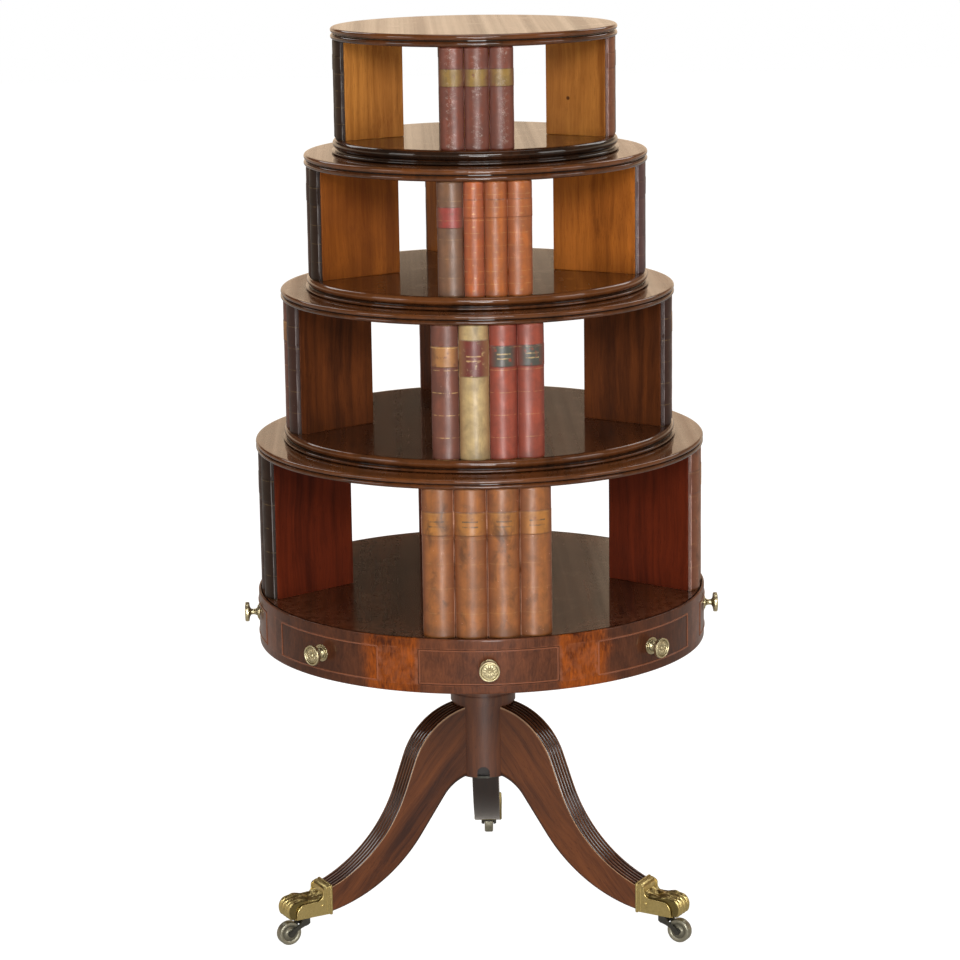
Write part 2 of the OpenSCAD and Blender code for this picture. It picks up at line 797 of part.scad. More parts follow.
module paw_cap(i) {
    pin_room = 0.4;
    color(brass)
    difference() {
        stand_up(i)
        difference() {
            union() {
                translate([leg_end_r, collar_low + rim_out, rim_out - collar_half])
                    cube([cap_collar_l, collar_top - collar_low - 2 * rim_out, 2 * (collar_half - rim_out)]);
                for (x = [0, cap_collar_l - rim_t])
                    translate([leg_end_r + x, collar_low, -collar_half])
                        cube([rim_t, collar_top - collar_low, 2 * collar_half]);
                difference() {
                    linear_extrude(paw_w - 2 * flank_t, center = true) paw_outline();
                    toe_cuts();
                }
                for (side = [0, 1]) mirror([0, 0, side])
                    translate([0, 0, paw_w / 2 - flank_t]) linear_extrude(flank_t) flank_outline();
            }
            translate([leg_end_r - margin, tenon_low - joint_fit, -tenon_w / 2 - joint_fit])
                cube([tenon_l + margin + joint_fit, tenon_top - tenon_low + 2 * joint_fit,
                      tenon_w + 2 * joint_fit]);
        }
        rotate(leg_angle[i] + leg_turn) translate([swivel_r, 0, collar_low - margin])
            cylinder(d = swivel_pin_d + 2 * castor_fit, h = swivel_pin_z - collar_low + margin + pin_room);
    }
}

module paw_screws() {
    head_t = 1.4;
    color(brass)
    for (i = [0:2]) stand_up(i)
        for (side = [0, 1]) mirror([0, 0, side])
            translate([paw_screw_x, paw_screw_y, paw_w / 2])
                cylinder(d1 = paw_screw_d, d2 = paw_screw_d - 2 * paw_screw_taper, h = head_t);
}

// Castors: a forked swivel, its axle and a brass wheel.
wheel_r = wheel_d / 2;
axle_x = swivel_r + castor_trail;
swivel_gap = 0.3;
plate_top = paw_z - swivel_gap;
plate_t = 3;
plate_r = 12;
swivel_pin_z = paw_z + paw_h * 0.62;
side_gap = 0.6;
horn_in = wheel_w / 2 + side_gap;
horn_eye_r = 6.5;
horn_inset = 3;
horn_heel = 2;

module horn_plan() {
    difference() {
        union() {
            polygon([
                [swivel_r - plate_r + horn_inset, plate_top], [swivel_r + plate_r - horn_inset, plate_top],
                [axle_x + horn_eye_r * 0.7, wheel_r + horn_eye_r * 0.7],
                [axle_x - horn_eye_r * 0.7, wheel_r - horn_eye_r * 0.7],
                [swivel_r - horn_heel, wheel_r + horn_eye_r]
            ]);
            translate([axle_x, wheel_r]) circle(horn_eye_r);
        }
        translate([axle_x, wheel_r]) circle(axle_d / 2 + castor_fit);
    }
}

module castor_fork(i) {
    color(iron) {
        stand_up(i)
            for (side = [0, 1]) mirror([0, 0, side])
                translate([0, 0, horn_in]) linear_extrude(horn_t) horn_plan();
        rotate(leg_angle[i] + leg_turn) translate([swivel_r, 0, 0]) {
            translate([0, 0, plate_top - plate_t]) cylinder(r = plate_r, h = plate_t);
            translate([0, 0, plate_top - plate_t])
                cylinder(d = swivel_pin_d, h = swivel_pin_z - plate_top + plate_t);
        }
    }
}

module castor_axle(i) {
    head_t = 1.5;
    head_d = axle_d + 2 * head_t;
    half = horn_in + horn_t;
    color(steel)
    stand_up(i) translate([axle_x, wheel_r, -half]) {
        cylinder(d = axle_d, h = 2 * half);
        translate([0, 0, -head_t]) cylinder(d = head_d, h = head_t);
        translate([0, 0, 2 * half]) cylinder(d = head_d, h = head_t);
    }
}

module castor_wheel(i) {
    tread_r = 3;
    dish_t = 2;
    hub_r = 6;
    ring_r = 1;
    ring_x = (wheel_r - tread_r + hub_r) / 2;
    color(brass)
    stand_up(i) translate([axle_x, wheel_r, 0])
    rotate_extrude()
    difference() {
        union() {
            translate([0, -wheel_w / 2]) square([wheel_r - tread_r, wheel_w]);
            translate([0, -wheel_w / 2 + tread_r]) square([wheel_r, wheel_w - 2 * tread_r]);
            for (side = [-1, 1])
                translate([wheel_r - tread_r, side * (wheel_w / 2 - tread_r)]) circle(tread_r);
        }
        translate([0, -wheel_w]) square([axle_d / 2 + castor_fit, 2 * wheel_w]);
        for (side = [0, 1]) mirror([0, side])
            difference() {
                translate([hub_r, wheel_w / 2 - dish_t])
                    square([wheel_r - tread_r - hub_r, dish_t + margin]);
                translate([ring_x, wheel_w / 2 - dish_t]) circle(ring_r);
            }
    }
}

column();
brace_plate();
brace_screws();
spindle();
bearing_plate();
paw_screws();
for (i = [0:2]) {
    leg(i);
    paw_cap(i);
    castor_fork(i);
    castor_axle(i);
    castor_wheel(i);
}
turntable_plate();
drum_base();
drum_stiles();
drawer_guides();
sham_fronts();
sham_knobs();
drum_top();
for (k = [0:3]) {
    real_drawer_face(face_angle[k]);
    drawer_box(face_angle[k]);
    drawer_knob(face_angle[k]);
}
for (i = [0:last_tier]) {
    tier_pillars(i);
    tier_books_all(i);
    tier_top(i);
}
for (i = [0:last_tier - 1]) {
    tier_base(i);
    tier_bush(i);
}
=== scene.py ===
"""Revolving bookcase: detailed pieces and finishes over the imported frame, laid out as an add-on."""
import json
import math
import random

import bmesh
import bpy
from bpy.props import FloatProperty, FloatVectorProperty, IntProperty, PointerProperty
from mathutils import Matrix, Vector, noise


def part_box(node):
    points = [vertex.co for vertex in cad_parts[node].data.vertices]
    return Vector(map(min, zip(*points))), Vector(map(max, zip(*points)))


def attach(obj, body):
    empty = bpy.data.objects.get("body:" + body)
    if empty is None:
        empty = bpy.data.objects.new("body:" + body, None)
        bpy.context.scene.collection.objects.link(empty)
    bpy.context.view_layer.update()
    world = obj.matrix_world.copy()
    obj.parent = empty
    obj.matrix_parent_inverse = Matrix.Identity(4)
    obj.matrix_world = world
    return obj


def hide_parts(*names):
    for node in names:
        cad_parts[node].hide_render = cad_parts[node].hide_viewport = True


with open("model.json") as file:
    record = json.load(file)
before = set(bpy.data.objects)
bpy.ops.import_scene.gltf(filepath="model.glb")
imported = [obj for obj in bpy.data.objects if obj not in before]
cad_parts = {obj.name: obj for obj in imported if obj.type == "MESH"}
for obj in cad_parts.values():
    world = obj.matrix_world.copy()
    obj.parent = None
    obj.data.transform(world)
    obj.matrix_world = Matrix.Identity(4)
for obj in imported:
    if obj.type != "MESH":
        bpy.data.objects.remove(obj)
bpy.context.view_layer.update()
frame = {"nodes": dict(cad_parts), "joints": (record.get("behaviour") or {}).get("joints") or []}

bl_info = {
    "name": "Revolving bookcase",
    "version": (1, 0, 0),
    "blender": (4, 5, 0),
    "location": "3D View > Sidebar > Bookcase",
    "description": "Dresses the packed frame of a revolving bookcase with detailed pieces and finishes",
    "category": "Object",
}

MM = 0.001
SIDES = ("left", "right", "back")
FACES = {"front": -90, "right": 0, "back": 90, "left": 180}
SHAM_ANGLES = (-45, 45, 135, 225)

# Body that each tier's pieces ride on, and the turn in degrees at which the tier stands at rest.
TIER_BODY = {1: "tier_1", 2: "tier_2", 3: "tier_3", 4: "drum"}
TIER_TURN = {1: -0.7, 2: 1.3, 3: 1.2, 4: 0.0}

# Plan of the pillars in millimetres, as in the solids.
PILLAR_DEPTH = {1: 100, 2: 132, 3: 127, 4: 134}
BOOK_WIDTHS = {
    1: (33, 33, 33),
    2: (35.5, 27, 30.5, 34),
    3: (37, 40, 37, 37),
    4: (43.5, 43.5, 43.5, 43.5),
}
PANEL_THICK = 7
BACKING_THICK = 8
CROWN_INSET = 2.5
SPINE_SIDE = 4
BOW_SHARE = 0.22

# Small knot in a panel of the top tier: its place, and its inner and outer radius, in metres.
PANEL_KNOT = (0.1292, -0.0185, 1.1834)
KNOT_R = (0.0020, 0.0032)

# Leg edges in millimetres and degrees, as in the solids.
COLUMN_R = 45
KNEE = {"z": 312.5, "slope": 11.3, "bend": 107, "straight_slope": 69.2, "straight": 48, "sweep": 206}
ARCH = {"z": 206.7, "slope": 18, "bend": 62.5, "straight_slope": 53.5, "straight": 64.4, "sweep": 227.5}
LEG_END = 262
REED_POINTS = 10

# Drum fronts, paw caps and castors in millimetres, as in the solids.
FRONT_THICK = 18
STILE_DEEP = 24
CAP_START, CAP_END = 262, 272
PAW_FLOOR = 40.4
SWIVEL_X, AXLE_X, WHEEL_R = 297, 321, 17

# Steps round a board, and the strip beside a sharp edge that holds its wear.
BOARD_STEPS = 192
GUARD = 1.4 * MM


# Settings

def length(name, text, value):
    """A length setting, from millimetres."""
    return FloatProperty(name=name, description=text, unit="LENGTH", default=value * MM)


def colour(name, text, value):
    """A colour setting."""
    return FloatVectorProperty(
        name=name, description=text, subtype="COLOR", size=3, min=0, max=1, default=value)


class BookcaseShape(bpy.types.PropertyGroup):
    """Sizes of the fine detail"""
    reed_count: IntProperty(name="Reeds", description="Reeds along the top of a leg", default=5)
    reed_depth: length("Reed depth", "Depth of the grooves between reeds", 3.0)
    leg_thick: length("Leg thickness", "Thickness of a leg at the column", 40)
    foot_thick: length("Foot thickness", "Thickness of a leg at its brass cap", 38)
    label_out: length("Label", "How far a label stands out of a spine", 0.4)
    cock_bead: length("Cock bead", "Width of the bead round a drawer face", 2.4)
    panel_round: length("Panel edge", "Rounding of the panels' edges", 0.8)
    petals: IntProperty(name="Petals", description="Petals of the flower on a knob", default=12)
    toes: IntProperty(name="Toes", description="Toes of a paw", default=4)


class BookcaseFinish(bpy.types.PropertyGroup):
    """Colours of the woods and metals"""
    leg_dark: colour("Leg dark", "Dark grain of the legs and column", (0.040, 0.012, 0.006))
    leg_light: colour("Leg light", "Light grain of the legs and column", (0.170, 0.050, 0.014))
    arris: colour("Worn arris", "Pale wear along the edges of the legs", (0.60, 0.38, 0.22))
    shelf_dark: colour("Shelf dark", "Dark grain of the boards", (0.016, 0.006, 0.003))
    shelf_light: colour("Shelf light", "Light grain of the boards", (0.095, 0.028, 0.008))
    # Also painted light: lightens the upper beads, upper noses and open rings of the boards.
    bead: colour("Worn bead", "Wear on the beads of the boards", (0.24, 0.078, 0.020))
    nosing: colour("Nosing", "Blackened edge of the base boards", (0.010, 0.006, 0.004))
    panel_1_dark: colour("Panel 1 dark", "Dark grain of the top tier's panels", (0.23, 0.072, 0.012))
    panel_1_light: colour("Panel 1 light", "Light grain of the top tier's panels", (0.58, 0.23, 0.045))
    panel_2_dark: colour("Panel 2 dark", "Dark grain of the second tier's panels", (0.16, 0.042, 0.006))
    panel_2_light: colour("Panel 2 light", "Light grain of the second tier's panels", (0.45, 0.135, 0.018))
    panel_3_dark: colour("Panel 3 dark", "Dark grain of the third tier's panels", (0.040, 0.011, 0.004))
    panel_3_light: colour("Panel 3 light", "Light grain of the third tier's panels", (0.15, 0.039, 0.009))
    panel_4_dark: colour("Panel 4 dark", "Dark grain of the lowest panels", (0.046, 0.007, 0.003))
    panel_4_light: colour("Panel 4 light", "Light grain of the lowest panels", (0.145, 0.021, 0.006))
    flame_dark: colour("Flame dark", "Dark figure of the drum's veneer", (0.046, 0.009, 0.002))
    flame_light: colour("Flame light", "Light figure of the drum's veneer", (0.33, 0.070, 0.005))
    drawer_dark: colour("Drawer dark", "Dark figure of the drawer faces", (0.060, 0.020, 0.010))
    drawer_light: colour("Drawer light", "Light figure of the drawer faces", (0.165, 0.051, 0.020))
    lining: colour("Drawer lining", "Plain wood inside the drawers", (0.36, 0.22, 0.11))
    brass: colour("Brass", "Rubbed brass", (0.62, 0.50, 0.21))
    knob: colour("Knob brass", "Pale brass of the knobs", (0.62, 0.55, 0.34))
    tarnish: colour("Tarnish", "Tarnished hollows of the brass", (0.24, 0.185, 0.06))
    wheel: colour("Wheel brass", "Grey worn brass of the castor wheels", (0.38, 0.37, 0.29))
    iron: colour("Iron", "Blackened iron", (0.095, 0.095, 0.085))
    steel: colour("Steel", "Plain steel", (0.42, 0.42, 0.43))
    gilt: colour("Gilding", "Worn gilding on the spines", (0.66, 0.44, 0.17))
    silver: colour("Silvering", "Worn silver tooling on the spines", (0.62, 0.57, 0.50))


def shape():
    return bpy.context.scene.bookcase_shape


def finish():
    return bpy.context.scene.bookcase_finish


# Node helpers

def tint(value, factor=1.0, lift=0.0):
    """A colour with full alpha, darkened or lightened."""
    return (*(min(1.0, c * factor + lift) for c in value), 1.0)


class Nodes:
    """Short names for the nodes of one shader tree. Inputs are values or sockets to link from."""

    def __init__(self, tree):
        self.tree = tree

    def feed(self, made, inputs):
        for key, value in inputs.items():
            if isinstance(value, bpy.types.NodeSocket):
                self.tree.links.new(value, made.inputs[key])
            else:
                made.inputs[key].default_value = value

    def add(self, kind, inputs=None, **settings):
        made = self.tree.nodes.new("ShaderNode" + kind)
        for key, value in settings.items():
            setattr(made, key, value)
        self.feed(made, inputs or {})
        return made

    def group(self, name, inputs):
        return self.add("Group", inputs, node_tree=bpy.data.node_groups[name]).outputs

    def math(self, operation, a, b=0.0):
        return self.add("Math", {0: a, 1: b}, operation=operation).outputs[0]

    def times(self, a, b):
        return self.math("MULTIPLY", a, b)

    def apart(self, a, b):
        return self.math("ABSOLUTE", self.math("SUBTRACT", a, b))

    def total(self, first, *others):
        """Sum of (socket, share) pairs."""
        made = self.times(*first)
        for pair in others:
            made = self.math("ADD", made, self.times(*pair))
        return made

    def vector(self, operation, a, b=(0, 0, 0), output=0):
        return self.add("VectorMath", {0: a, 1: b}, operation=operation).outputs[output]

    def length(self, operation, a, b=(0, 0, 0)):
        return self.vector(operation, a, b, "Value")

    def place(self, turn=(0, 0, 0)):
        """Object coordinates in metres, turned so that the wanted direction lies along X."""
        spot = self.add("TexCoord").outputs["Object"]
        return self.add("Mapping", {"Vector": spot, "Rotation": turn}, vector_type="TEXTURE").outputs[0]

    def noise(self, vector, scale, detail=3.0, rough=0.55, distortion=0.0):
        """Noise with one scale, or with a scale for each axis."""
        if isinstance(scale, tuple):
            vector, scale = self.vector("MULTIPLY", vector, scale), 1.0
        return self.add("TexNoise", {
            "Vector": vector, "Scale": scale, "Detail": detail, "Roughness": rough,
            "Distortion": distortion}).outputs["Fac"]

    def remap(self, value, low, high, new_low=0.0, new_high=1.0):
        return self.add("MapRange", {0: value, 1: low, 2: high, 3: new_low, 4: new_high}, clamp=True).outputs[0]

    def mix(self, share, a, b):
        return self.add("Mix", {0: share, 6: a, 7: b}, data_type="RGBA").outputs[2]

    def cover(self, base, *layers):
        """Lays (mask, share, colour) layers over a colour."""
        for mask, share, shown in layers:
            base = self.mix(self.times(mask, share), base, shown)
        return base

    def bump(self, height, strength, distance):
        return self.add("Bump", {"Height": height, "Strength": strength, "Distance": distance}).outputs[0]

    def either(self, share, a, b):
        """Mixes two shaders."""
        return self.add("MixShader", {0: share, 1: a.outputs[0], 2: b.outputs[0]})


def new_group(name, **values):
    """A node group that takes a vector and named values; returns its nodes and what it is given."""
    tree = bpy.data.node_groups.new(name, "ShaderNodeTree")
    tree.interface.new_socket("Vector", in_out="INPUT", socket_type="NodeSocketVector")
    for label, default in values.items():
        tree.interface.new_socket(label, in_out="INPUT", socket_type="NodeSocketFloat").default_value = default
    return Nodes(tree), tree.nodes.new("NodeGroupInput").outputs


def give(nodes, outputs):
    """Makes the named outputs of a node group and links them."""
    for label in outputs:
        nodes.tree.interface.new_socket(label, in_out="OUTPUT", socket_type="NodeSocketFloat")
    nodes.feed(nodes.tree.nodes.new("NodeGroupOutput"), outputs)


# Shared effects

def build_form_group():
    """Masks of worn edges, of hollows that take painted shade and grime, and of a painted tone, from the form
    stored on each mesh.
    """
    nodes, given = new_group("Worn form")
    form = nodes.add("VertexColor", layer_name="Form").outputs["Color"]
    proud, deep, painted = nodes.add("SeparateColor", {0: form}).outputs
    broken = nodes.remap(nodes.noise(given["Vector"], 95, 4), 0.40, 0.60)
    wear = nodes.times(nodes.remap(proud, 0.14, 0.40), broken)
    wear = nodes.math("MAXIMUM", wear, nodes.remap(proud, 0.80, 1.0))
    cloudy = nodes.remap(nodes.noise(given["Vector"], 14, 3), 0.35, 0.65, 0.55, 1.0)
    # Shade and grime: painted shade in concave places, which is also where grime and tarnish gather.
    give(nodes, {"Wear": wear, "Grime": nodes.remap(deep, 0.05, 0.28), "Tone": painted,
                 "Uneven tone": nodes.times(painted, cloudy)})


def build_grain_group():
    """Straight mahogany grain along the X axis of the vector, in metres."""
    nodes, given = new_group("Wood grain")
    vector = given["Vector"]
    stripe = nodes.noise(vector, (0.25, 48, 48), 3, 0.6)
    slow = nodes.vector("MULTIPLY", vector, (5, 9, 9))
    sway = nodes.add("TexNoise", {"Vector": slow, "Scale": 1.0, "Detail": 2.0})
    sway = nodes.vector("SUBTRACT", sway.outputs["Color"], (0.5, 0.5, 0.5))
    vector = nodes.vector("ADD", vector, nodes.vector("MULTIPLY", sway, (0.0, 0.035, 0.035)))
    broad = nodes.noise(vector, (1.6, 26, 26), 3, 0.55)
    streak = nodes.noise(vector, (3.5, 130, 130), 4, 0.62)
    fibre = nodes.noise(vector, (16, 700, 700), 3, 0.6)
    cloud = nodes.noise(vector, (9, 13, 13), 2, 0.5)
    tone = nodes.total((broad, 0.36), (streak, 0.30), (fibre, 0.12), (cloud, 0.22))
    pores = nodes.remap(nodes.noise(vector, (45, 1300, 1300), 2, 0.5), 0.58, 0.70)
    give(nodes, {"Tone": nodes.remap(tone, 0.39, 0.61), "Pores": pores,
                 "Height": nodes.math("SUBTRACT", fibre, nodes.times(pores, 0.5)),
                 "Stripe": nodes.remap(stripe, 0.36, 0.64)})


def build_flame_group():
    """Flame figure of a crotch veneer, with plumes along the Z axis of the vector, in metres."""
    nodes, given = new_group("Flame figure")
    vector = given["Vector"]
    plume = nodes.noise(vector, (15, 15, 10), 3, 0.55, 2.0)
    feather = nodes.noise(vector, (150, 150, 44), 5, 0.65, 1.8)
    fibre = nodes.noise(vector, (650, 650, 45), 3, 0.6)
    tone = nodes.total((plume, 0.40), (feather, 0.46), (fibre, 0.14))
    pores = nodes.remap(nodes.noise(vector, (1400, 1400, 60), 2), 0.60, 0.72)
    give(nodes, {"Tone": nodes.remap(tone, 0.37, 0.63), "Pores": pores,
                 "Height": nodes.math("SUBTRACT", fibre, nodes.times(pores, 0.5))})


def build_leather_group():
    """Old calf: blotches, streaks along the spine, dark stains, pale chips and a fine pebble."""
    nodes, given = new_group("Old leather")
    vector = given["Vector"]
    pebble = nodes.add("TexVoronoi", {"Vector": vector, "Scale": 900.0}).outputs["Distance"]
    squat = nodes.vector("MULTIPLY", vector, (1, 1, 0.6))
    give(nodes, {
        "Blotch": nodes.remap(nodes.noise(vector, 55, 5, 0.6, 0.3), 0.36, 0.66),
        "Streak": nodes.remap(nodes.noise(vector, (190, 190, 14), 4, 0.6), 0.42, 0.66),
        "Stain": nodes.remap(nodes.noise(squat, 34, 4, 0.6, 0.8), 0.54, 0.68),
        "Chip": nodes.remap(nodes.noise(vector, 240, 4, 0.6), 0.70, 0.74),
        "Height": nodes.total((pebble, 0.6), (nodes.noise(vector, 500, 3), 1.0)),
    })


def build_tooling_group():
    """Fine rules across a spine, flowers between them and a worn scroll. V runs from the foot to the head."""
    nodes, given = new_group("Gilt tooling", U=0.0, V=0.0, Panels=6.0, Width=0.004)
    vector, across, along = given["Vector"], given["U"], given["V"]
    step = nodes.times(along, given["Panels"])
    from_rule = nodes.apart(step, nodes.math("ROUND", step))
    rule = nodes.math("LESS_THAN", nodes.math("DIVIDE", from_rule, given["Panels"]), given["Width"])
    worn = nodes.remap(nodes.noise(vector, 170, 4), 0.40, 0.60)
    middle = nodes.math("SUBTRACT", 0.5, from_rule)
    reach = nodes.math("ADD", nodes.math("ABSOLUTE", across), nodes.times(middle, 2.6))
    flower = nodes.math("LESS_THAN", reach, 0.22)
    wave = nodes.math("SINE", nodes.times(along, 95.0))
    near_stem = nodes.remap(nodes.apart(across, nodes.times(wave, 0.16)), 0.20, 0.34, 1.0, 0.0)
    curl = nodes.remap(nodes.noise(vector, 420, 2, 0.5, 1.5), 0.50, 0.62)
    patchy = nodes.remap(nodes.noise(vector, 60, 3), 0.36, 0.60)
    give(nodes, {"Rules": nodes.times(rule, worn), "Flowers": nodes.times(flower, worn),
                 "Scroll": nodes.times(nodes.times(curl, near_stem), patchy)})


def build_patina_group():
    """Patches of tarnish and fine scratches on old metal."""
    nodes, given = new_group("Metal patina")
    vector = given["Vector"]
    scratch, pits = nodes.noise(vector, (300, 2600, 900), 3), nodes.noise(vector, 1400, 2)
    give(nodes, {"Tarnish": nodes.remap(nodes.noise(vector, 120, 5, 0.6), 0.38, 0.70),
                 "Height": nodes.math("ADD", scratch, pits)})


# Materials

def new_material(name):
    """A new material; returns it, its nodes and its Principled shader."""
    made = bpy.data.materials.new(name)
    made.use_nodes = True
    return made, Nodes(made.node_tree), made.node_tree.nodes["Principled BSDF"]


def wood_material(name, dark, light, turn=(0, 0, 0), figure="Wood grain", rough=0.34, coat=0.3, sheen=0.2,
                  tone=None, relief=0.06, flame=False, streaky=False, knot=None, painted_shade_within=0.0):
    """Polished wood with grain or figure, painted shade and grime in its hollows, and worn edges. A painted
    tone shifts its colour.
    """
    made, nodes, shader = new_material(name)
    vector = nodes.place(turn)
    spot = nodes.add("TexCoord").outputs["Object"]
    grain = nodes.group(figure, {"Vector": vector})
    form = nodes.group("Worn form", {"Vector": vector})
    base = nodes.mix(grain["Tone"], tint(dark), tint(light))
    if flame:
        glow = nodes.mix(grain["Tone"], tint(finish().flame_dark), tint(finish().flame_light))
        base = nodes.mix(form["Tone"], base, glow)
    pore_colour, shade_and_grime_colour, worn_colour = tint(dark, 0.35), tint(dark, 0.2), tint(light, 1.7, 0.02)
    base = nodes.cover(base, (grain["Pores"], 0.4, pore_colour), (form["Wear"], 0.5, worn_colour))
    if tone is not None:
        base = nodes.mix(form["Uneven tone"], base, tint(tone))
    # Painted shade, with grime, darkens the hollows and creases of the wood.
    base = nodes.cover(base, (form["Grime"], 0.9, shade_and_grime_colour))
    if knot is not None:
        near = nodes.remap(nodes.length("DISTANCE", spot, knot), KNOT_R[0], KNOT_R[1], 1.0, 0.0)
        base = nodes.cover(base, (near, nodes.math("GREATER_THAN", form["Tone"], 0.1), pore_colour))
    # Painted shade: every surface nearer the axis than this radius, such as the inside of the column's notches
    # and slots, is darkened.
    if painted_shade_within:
        from_axis = nodes.length("LENGTH", nodes.vector("MULTIPLY", spot, (1, 1, 0)))
        base = nodes.mix(nodes.math("LESS_THAN", from_axis, painted_shade_within), base, shade_and_grime_colour)
    polish = nodes.remap(nodes.noise(vector, 22, 3), 0.3, 0.7, rough * 0.85, rough * 1.2)
    nodes.feed(shader, {"Base Color": base, "Roughness": polish, "Specular IOR Level": sheen,
                        "Coat Weight": coat, "Coat Roughness": 0.06})
    if relief:
        nodes.feed(shader, {"Normal": nodes.bump(grain["Height"], relief, 0.0003)})
    if streaky:
        nodes.feed(shader, {"Coat Weight": nodes.remap(grain["Stripe"], 0, 1, coat * 0.7, coat)})
    return made


def metal_material(name, bright, dull, dim=1.0, rough=0.32):
    """Old metal: rubbed on the high parts, dull and dark in the hollows."""
    made, nodes, shader = new_material(name)
    vector = nodes.place()
    patina = nodes.group("Metal patina", {"Vector": vector})
    form = nodes.group("Worn form", {"Vector": vector})
    base = nodes.cover(
        tint(bright), (patina["Tarnish"], 0.45, tint(dull, dim)), (form["Wear"], 1.0, tint(bright, 1.35)),
        (form["Grime"], 0.9, tint(dull, dim * 0.5)))
    nodes.feed(shader, {
        "Base Color": base, "Metallic": 1.0, "Normal": nodes.bump(patina["Height"], 0.05, 0.0003),
        "Roughness": nodes.remap(patina["Tarnish"], 0, 1, rough * 0.8, rough * 1.6)})
    return made


def book_material(name, style):
    """A leather spine with its label, gilt rules and tooling. The UV map holds across and along."""
    made, nodes, shader = new_material(name)
    vector = nodes.place()
    across, along, _ = nodes.add("SeparateXYZ", {0: nodes.add("UVMap", uv_map="Spine").outputs[0]}).outputs
    leather = nodes.group("Old leather", {"Vector": vector})
    form = nodes.group("Worn form", {"Vector": vector})
    calf, skin = style["leather"], style["label"]
    side = nodes.math("ABSOLUTE", across)

    ragged = nodes.times(nodes.math("SUBTRACT", nodes.noise(vector, 300, 3), 0.5), 0.008)
    level = nodes.math("ADD", along, ragged)
    label_low, label_high = style["label_span"]
    over_low = nodes.math("GREATER_THAN", level, label_low)
    label = nodes.times(over_low, nodes.math("LESS_THAN", level, label_high))
    label = nodes.times(label, nodes.remap(nodes.noise(vector, 130, 4), 0.27, 0.42))
    label_tone = nodes.mix(leather["Blotch"], tint(skin, 0.7), tint(skin))
    # Painted shadow: a dark line along both edges of the raised label.
    label_shadow_share, line_half = 0.45, 0.006
    label_edge_shadows = [
        (nodes.math("LESS_THAN", nodes.apart(level, edge), line_half), label_shadow_share, tint(calf, 0.3))
        for edge in style["label_span"]]

    dash_half, dash_reach, dash_step = 0.005, 0.45, 0.017
    from_dash = nodes.apart(nodes.apart(level, (label_low + label_high) / 2), dash_step)
    dash = nodes.times(nodes.math("LESS_THAN", from_dash, dash_half), nodes.math("LESS_THAN", side, dash_reach))
    dash = nodes.times(dash, nodes.remap(nodes.noise(vector, 130, 2), 0.30, 0.62))

    # Painted shade: the spine darkens towards its sides, where its bow turns away from the light.
    deep = tint(c * share for c, share in zip(calf, (0.46, 0.32, 0.28)))
    foot = nodes.remap(nodes.math("ADD", along, nodes.times(leather["Blotch"], 0.05)), 0.03, 0.10, 0.6, 0.0)
    hinge = nodes.times(nodes.remap(side, 0.95, 0.98), nodes.remap(side, 1.0, 1.04, 1.0, 0.0))
    hinge = nodes.times(hinge, nodes.remap(nodes.noise(vector, 60, 3), 0.30, 0.55))

    tooling = nodes.group("Gilt tooling", {
        "U": across, "V": along, "Panels": style["panels"], "Width": style["rule_width"], "Vector": vector})
    gilt = nodes.times(tooling["Rules"], style["rules"])
    gilt = nodes.math("MAXIMUM", gilt, nodes.times(tooling["Flowers"], style["flowers"]))
    gilt = nodes.math("MAXIMUM", gilt, nodes.times(tooling["Scroll"], style["scroll"]))

    base = nodes.cover(
        nodes.mix(leather["Blotch"], tint(calf, 0.72), tint(calf, 1.22)),
        (form["Tone"], 0.3, tint(calf, 0.6)),
        (leather["Streak"], 0.35, tint(calf, 0.55)),
        (label, 1.0, label_tone),
        (dash, style["dashes"], tint(style["dash"])),
        *label_edge_shadows,
        (leather["Stain"], style["stain"], tint(calf, 0.25)),
        # Painted shade towards the sides of the spine.
        (nodes.remap(side, 0.42, 0.90), 0.8, deep),
        (foot, 1.0, tint(calf, 0.35)),
        (hinge, style["hinge"], tint(calf, 1.4, 0.18)),
        (leather["Chip"], style["chips"], tint(calf, 1.4, 0.22)),
        # Painted shade in the hollows of the spines.
        (form["Grime"], 0.6, tint(calf, 0.2)),
        (gilt, 1.0, tint(style["gilt"])),
    )
    nodes.feed(shader, {
        "Base Color": base, "Metallic": nodes.times(gilt, 0.4), "Specular IOR Level": style["gloss"],
        "Roughness": nodes.remap(leather["Blotch"], 0, 1, 0.46, 0.32),
        "Normal": nodes.bump(leather["Height"], 0.15, 0.0004)})
    return made


MATERIALS = {}


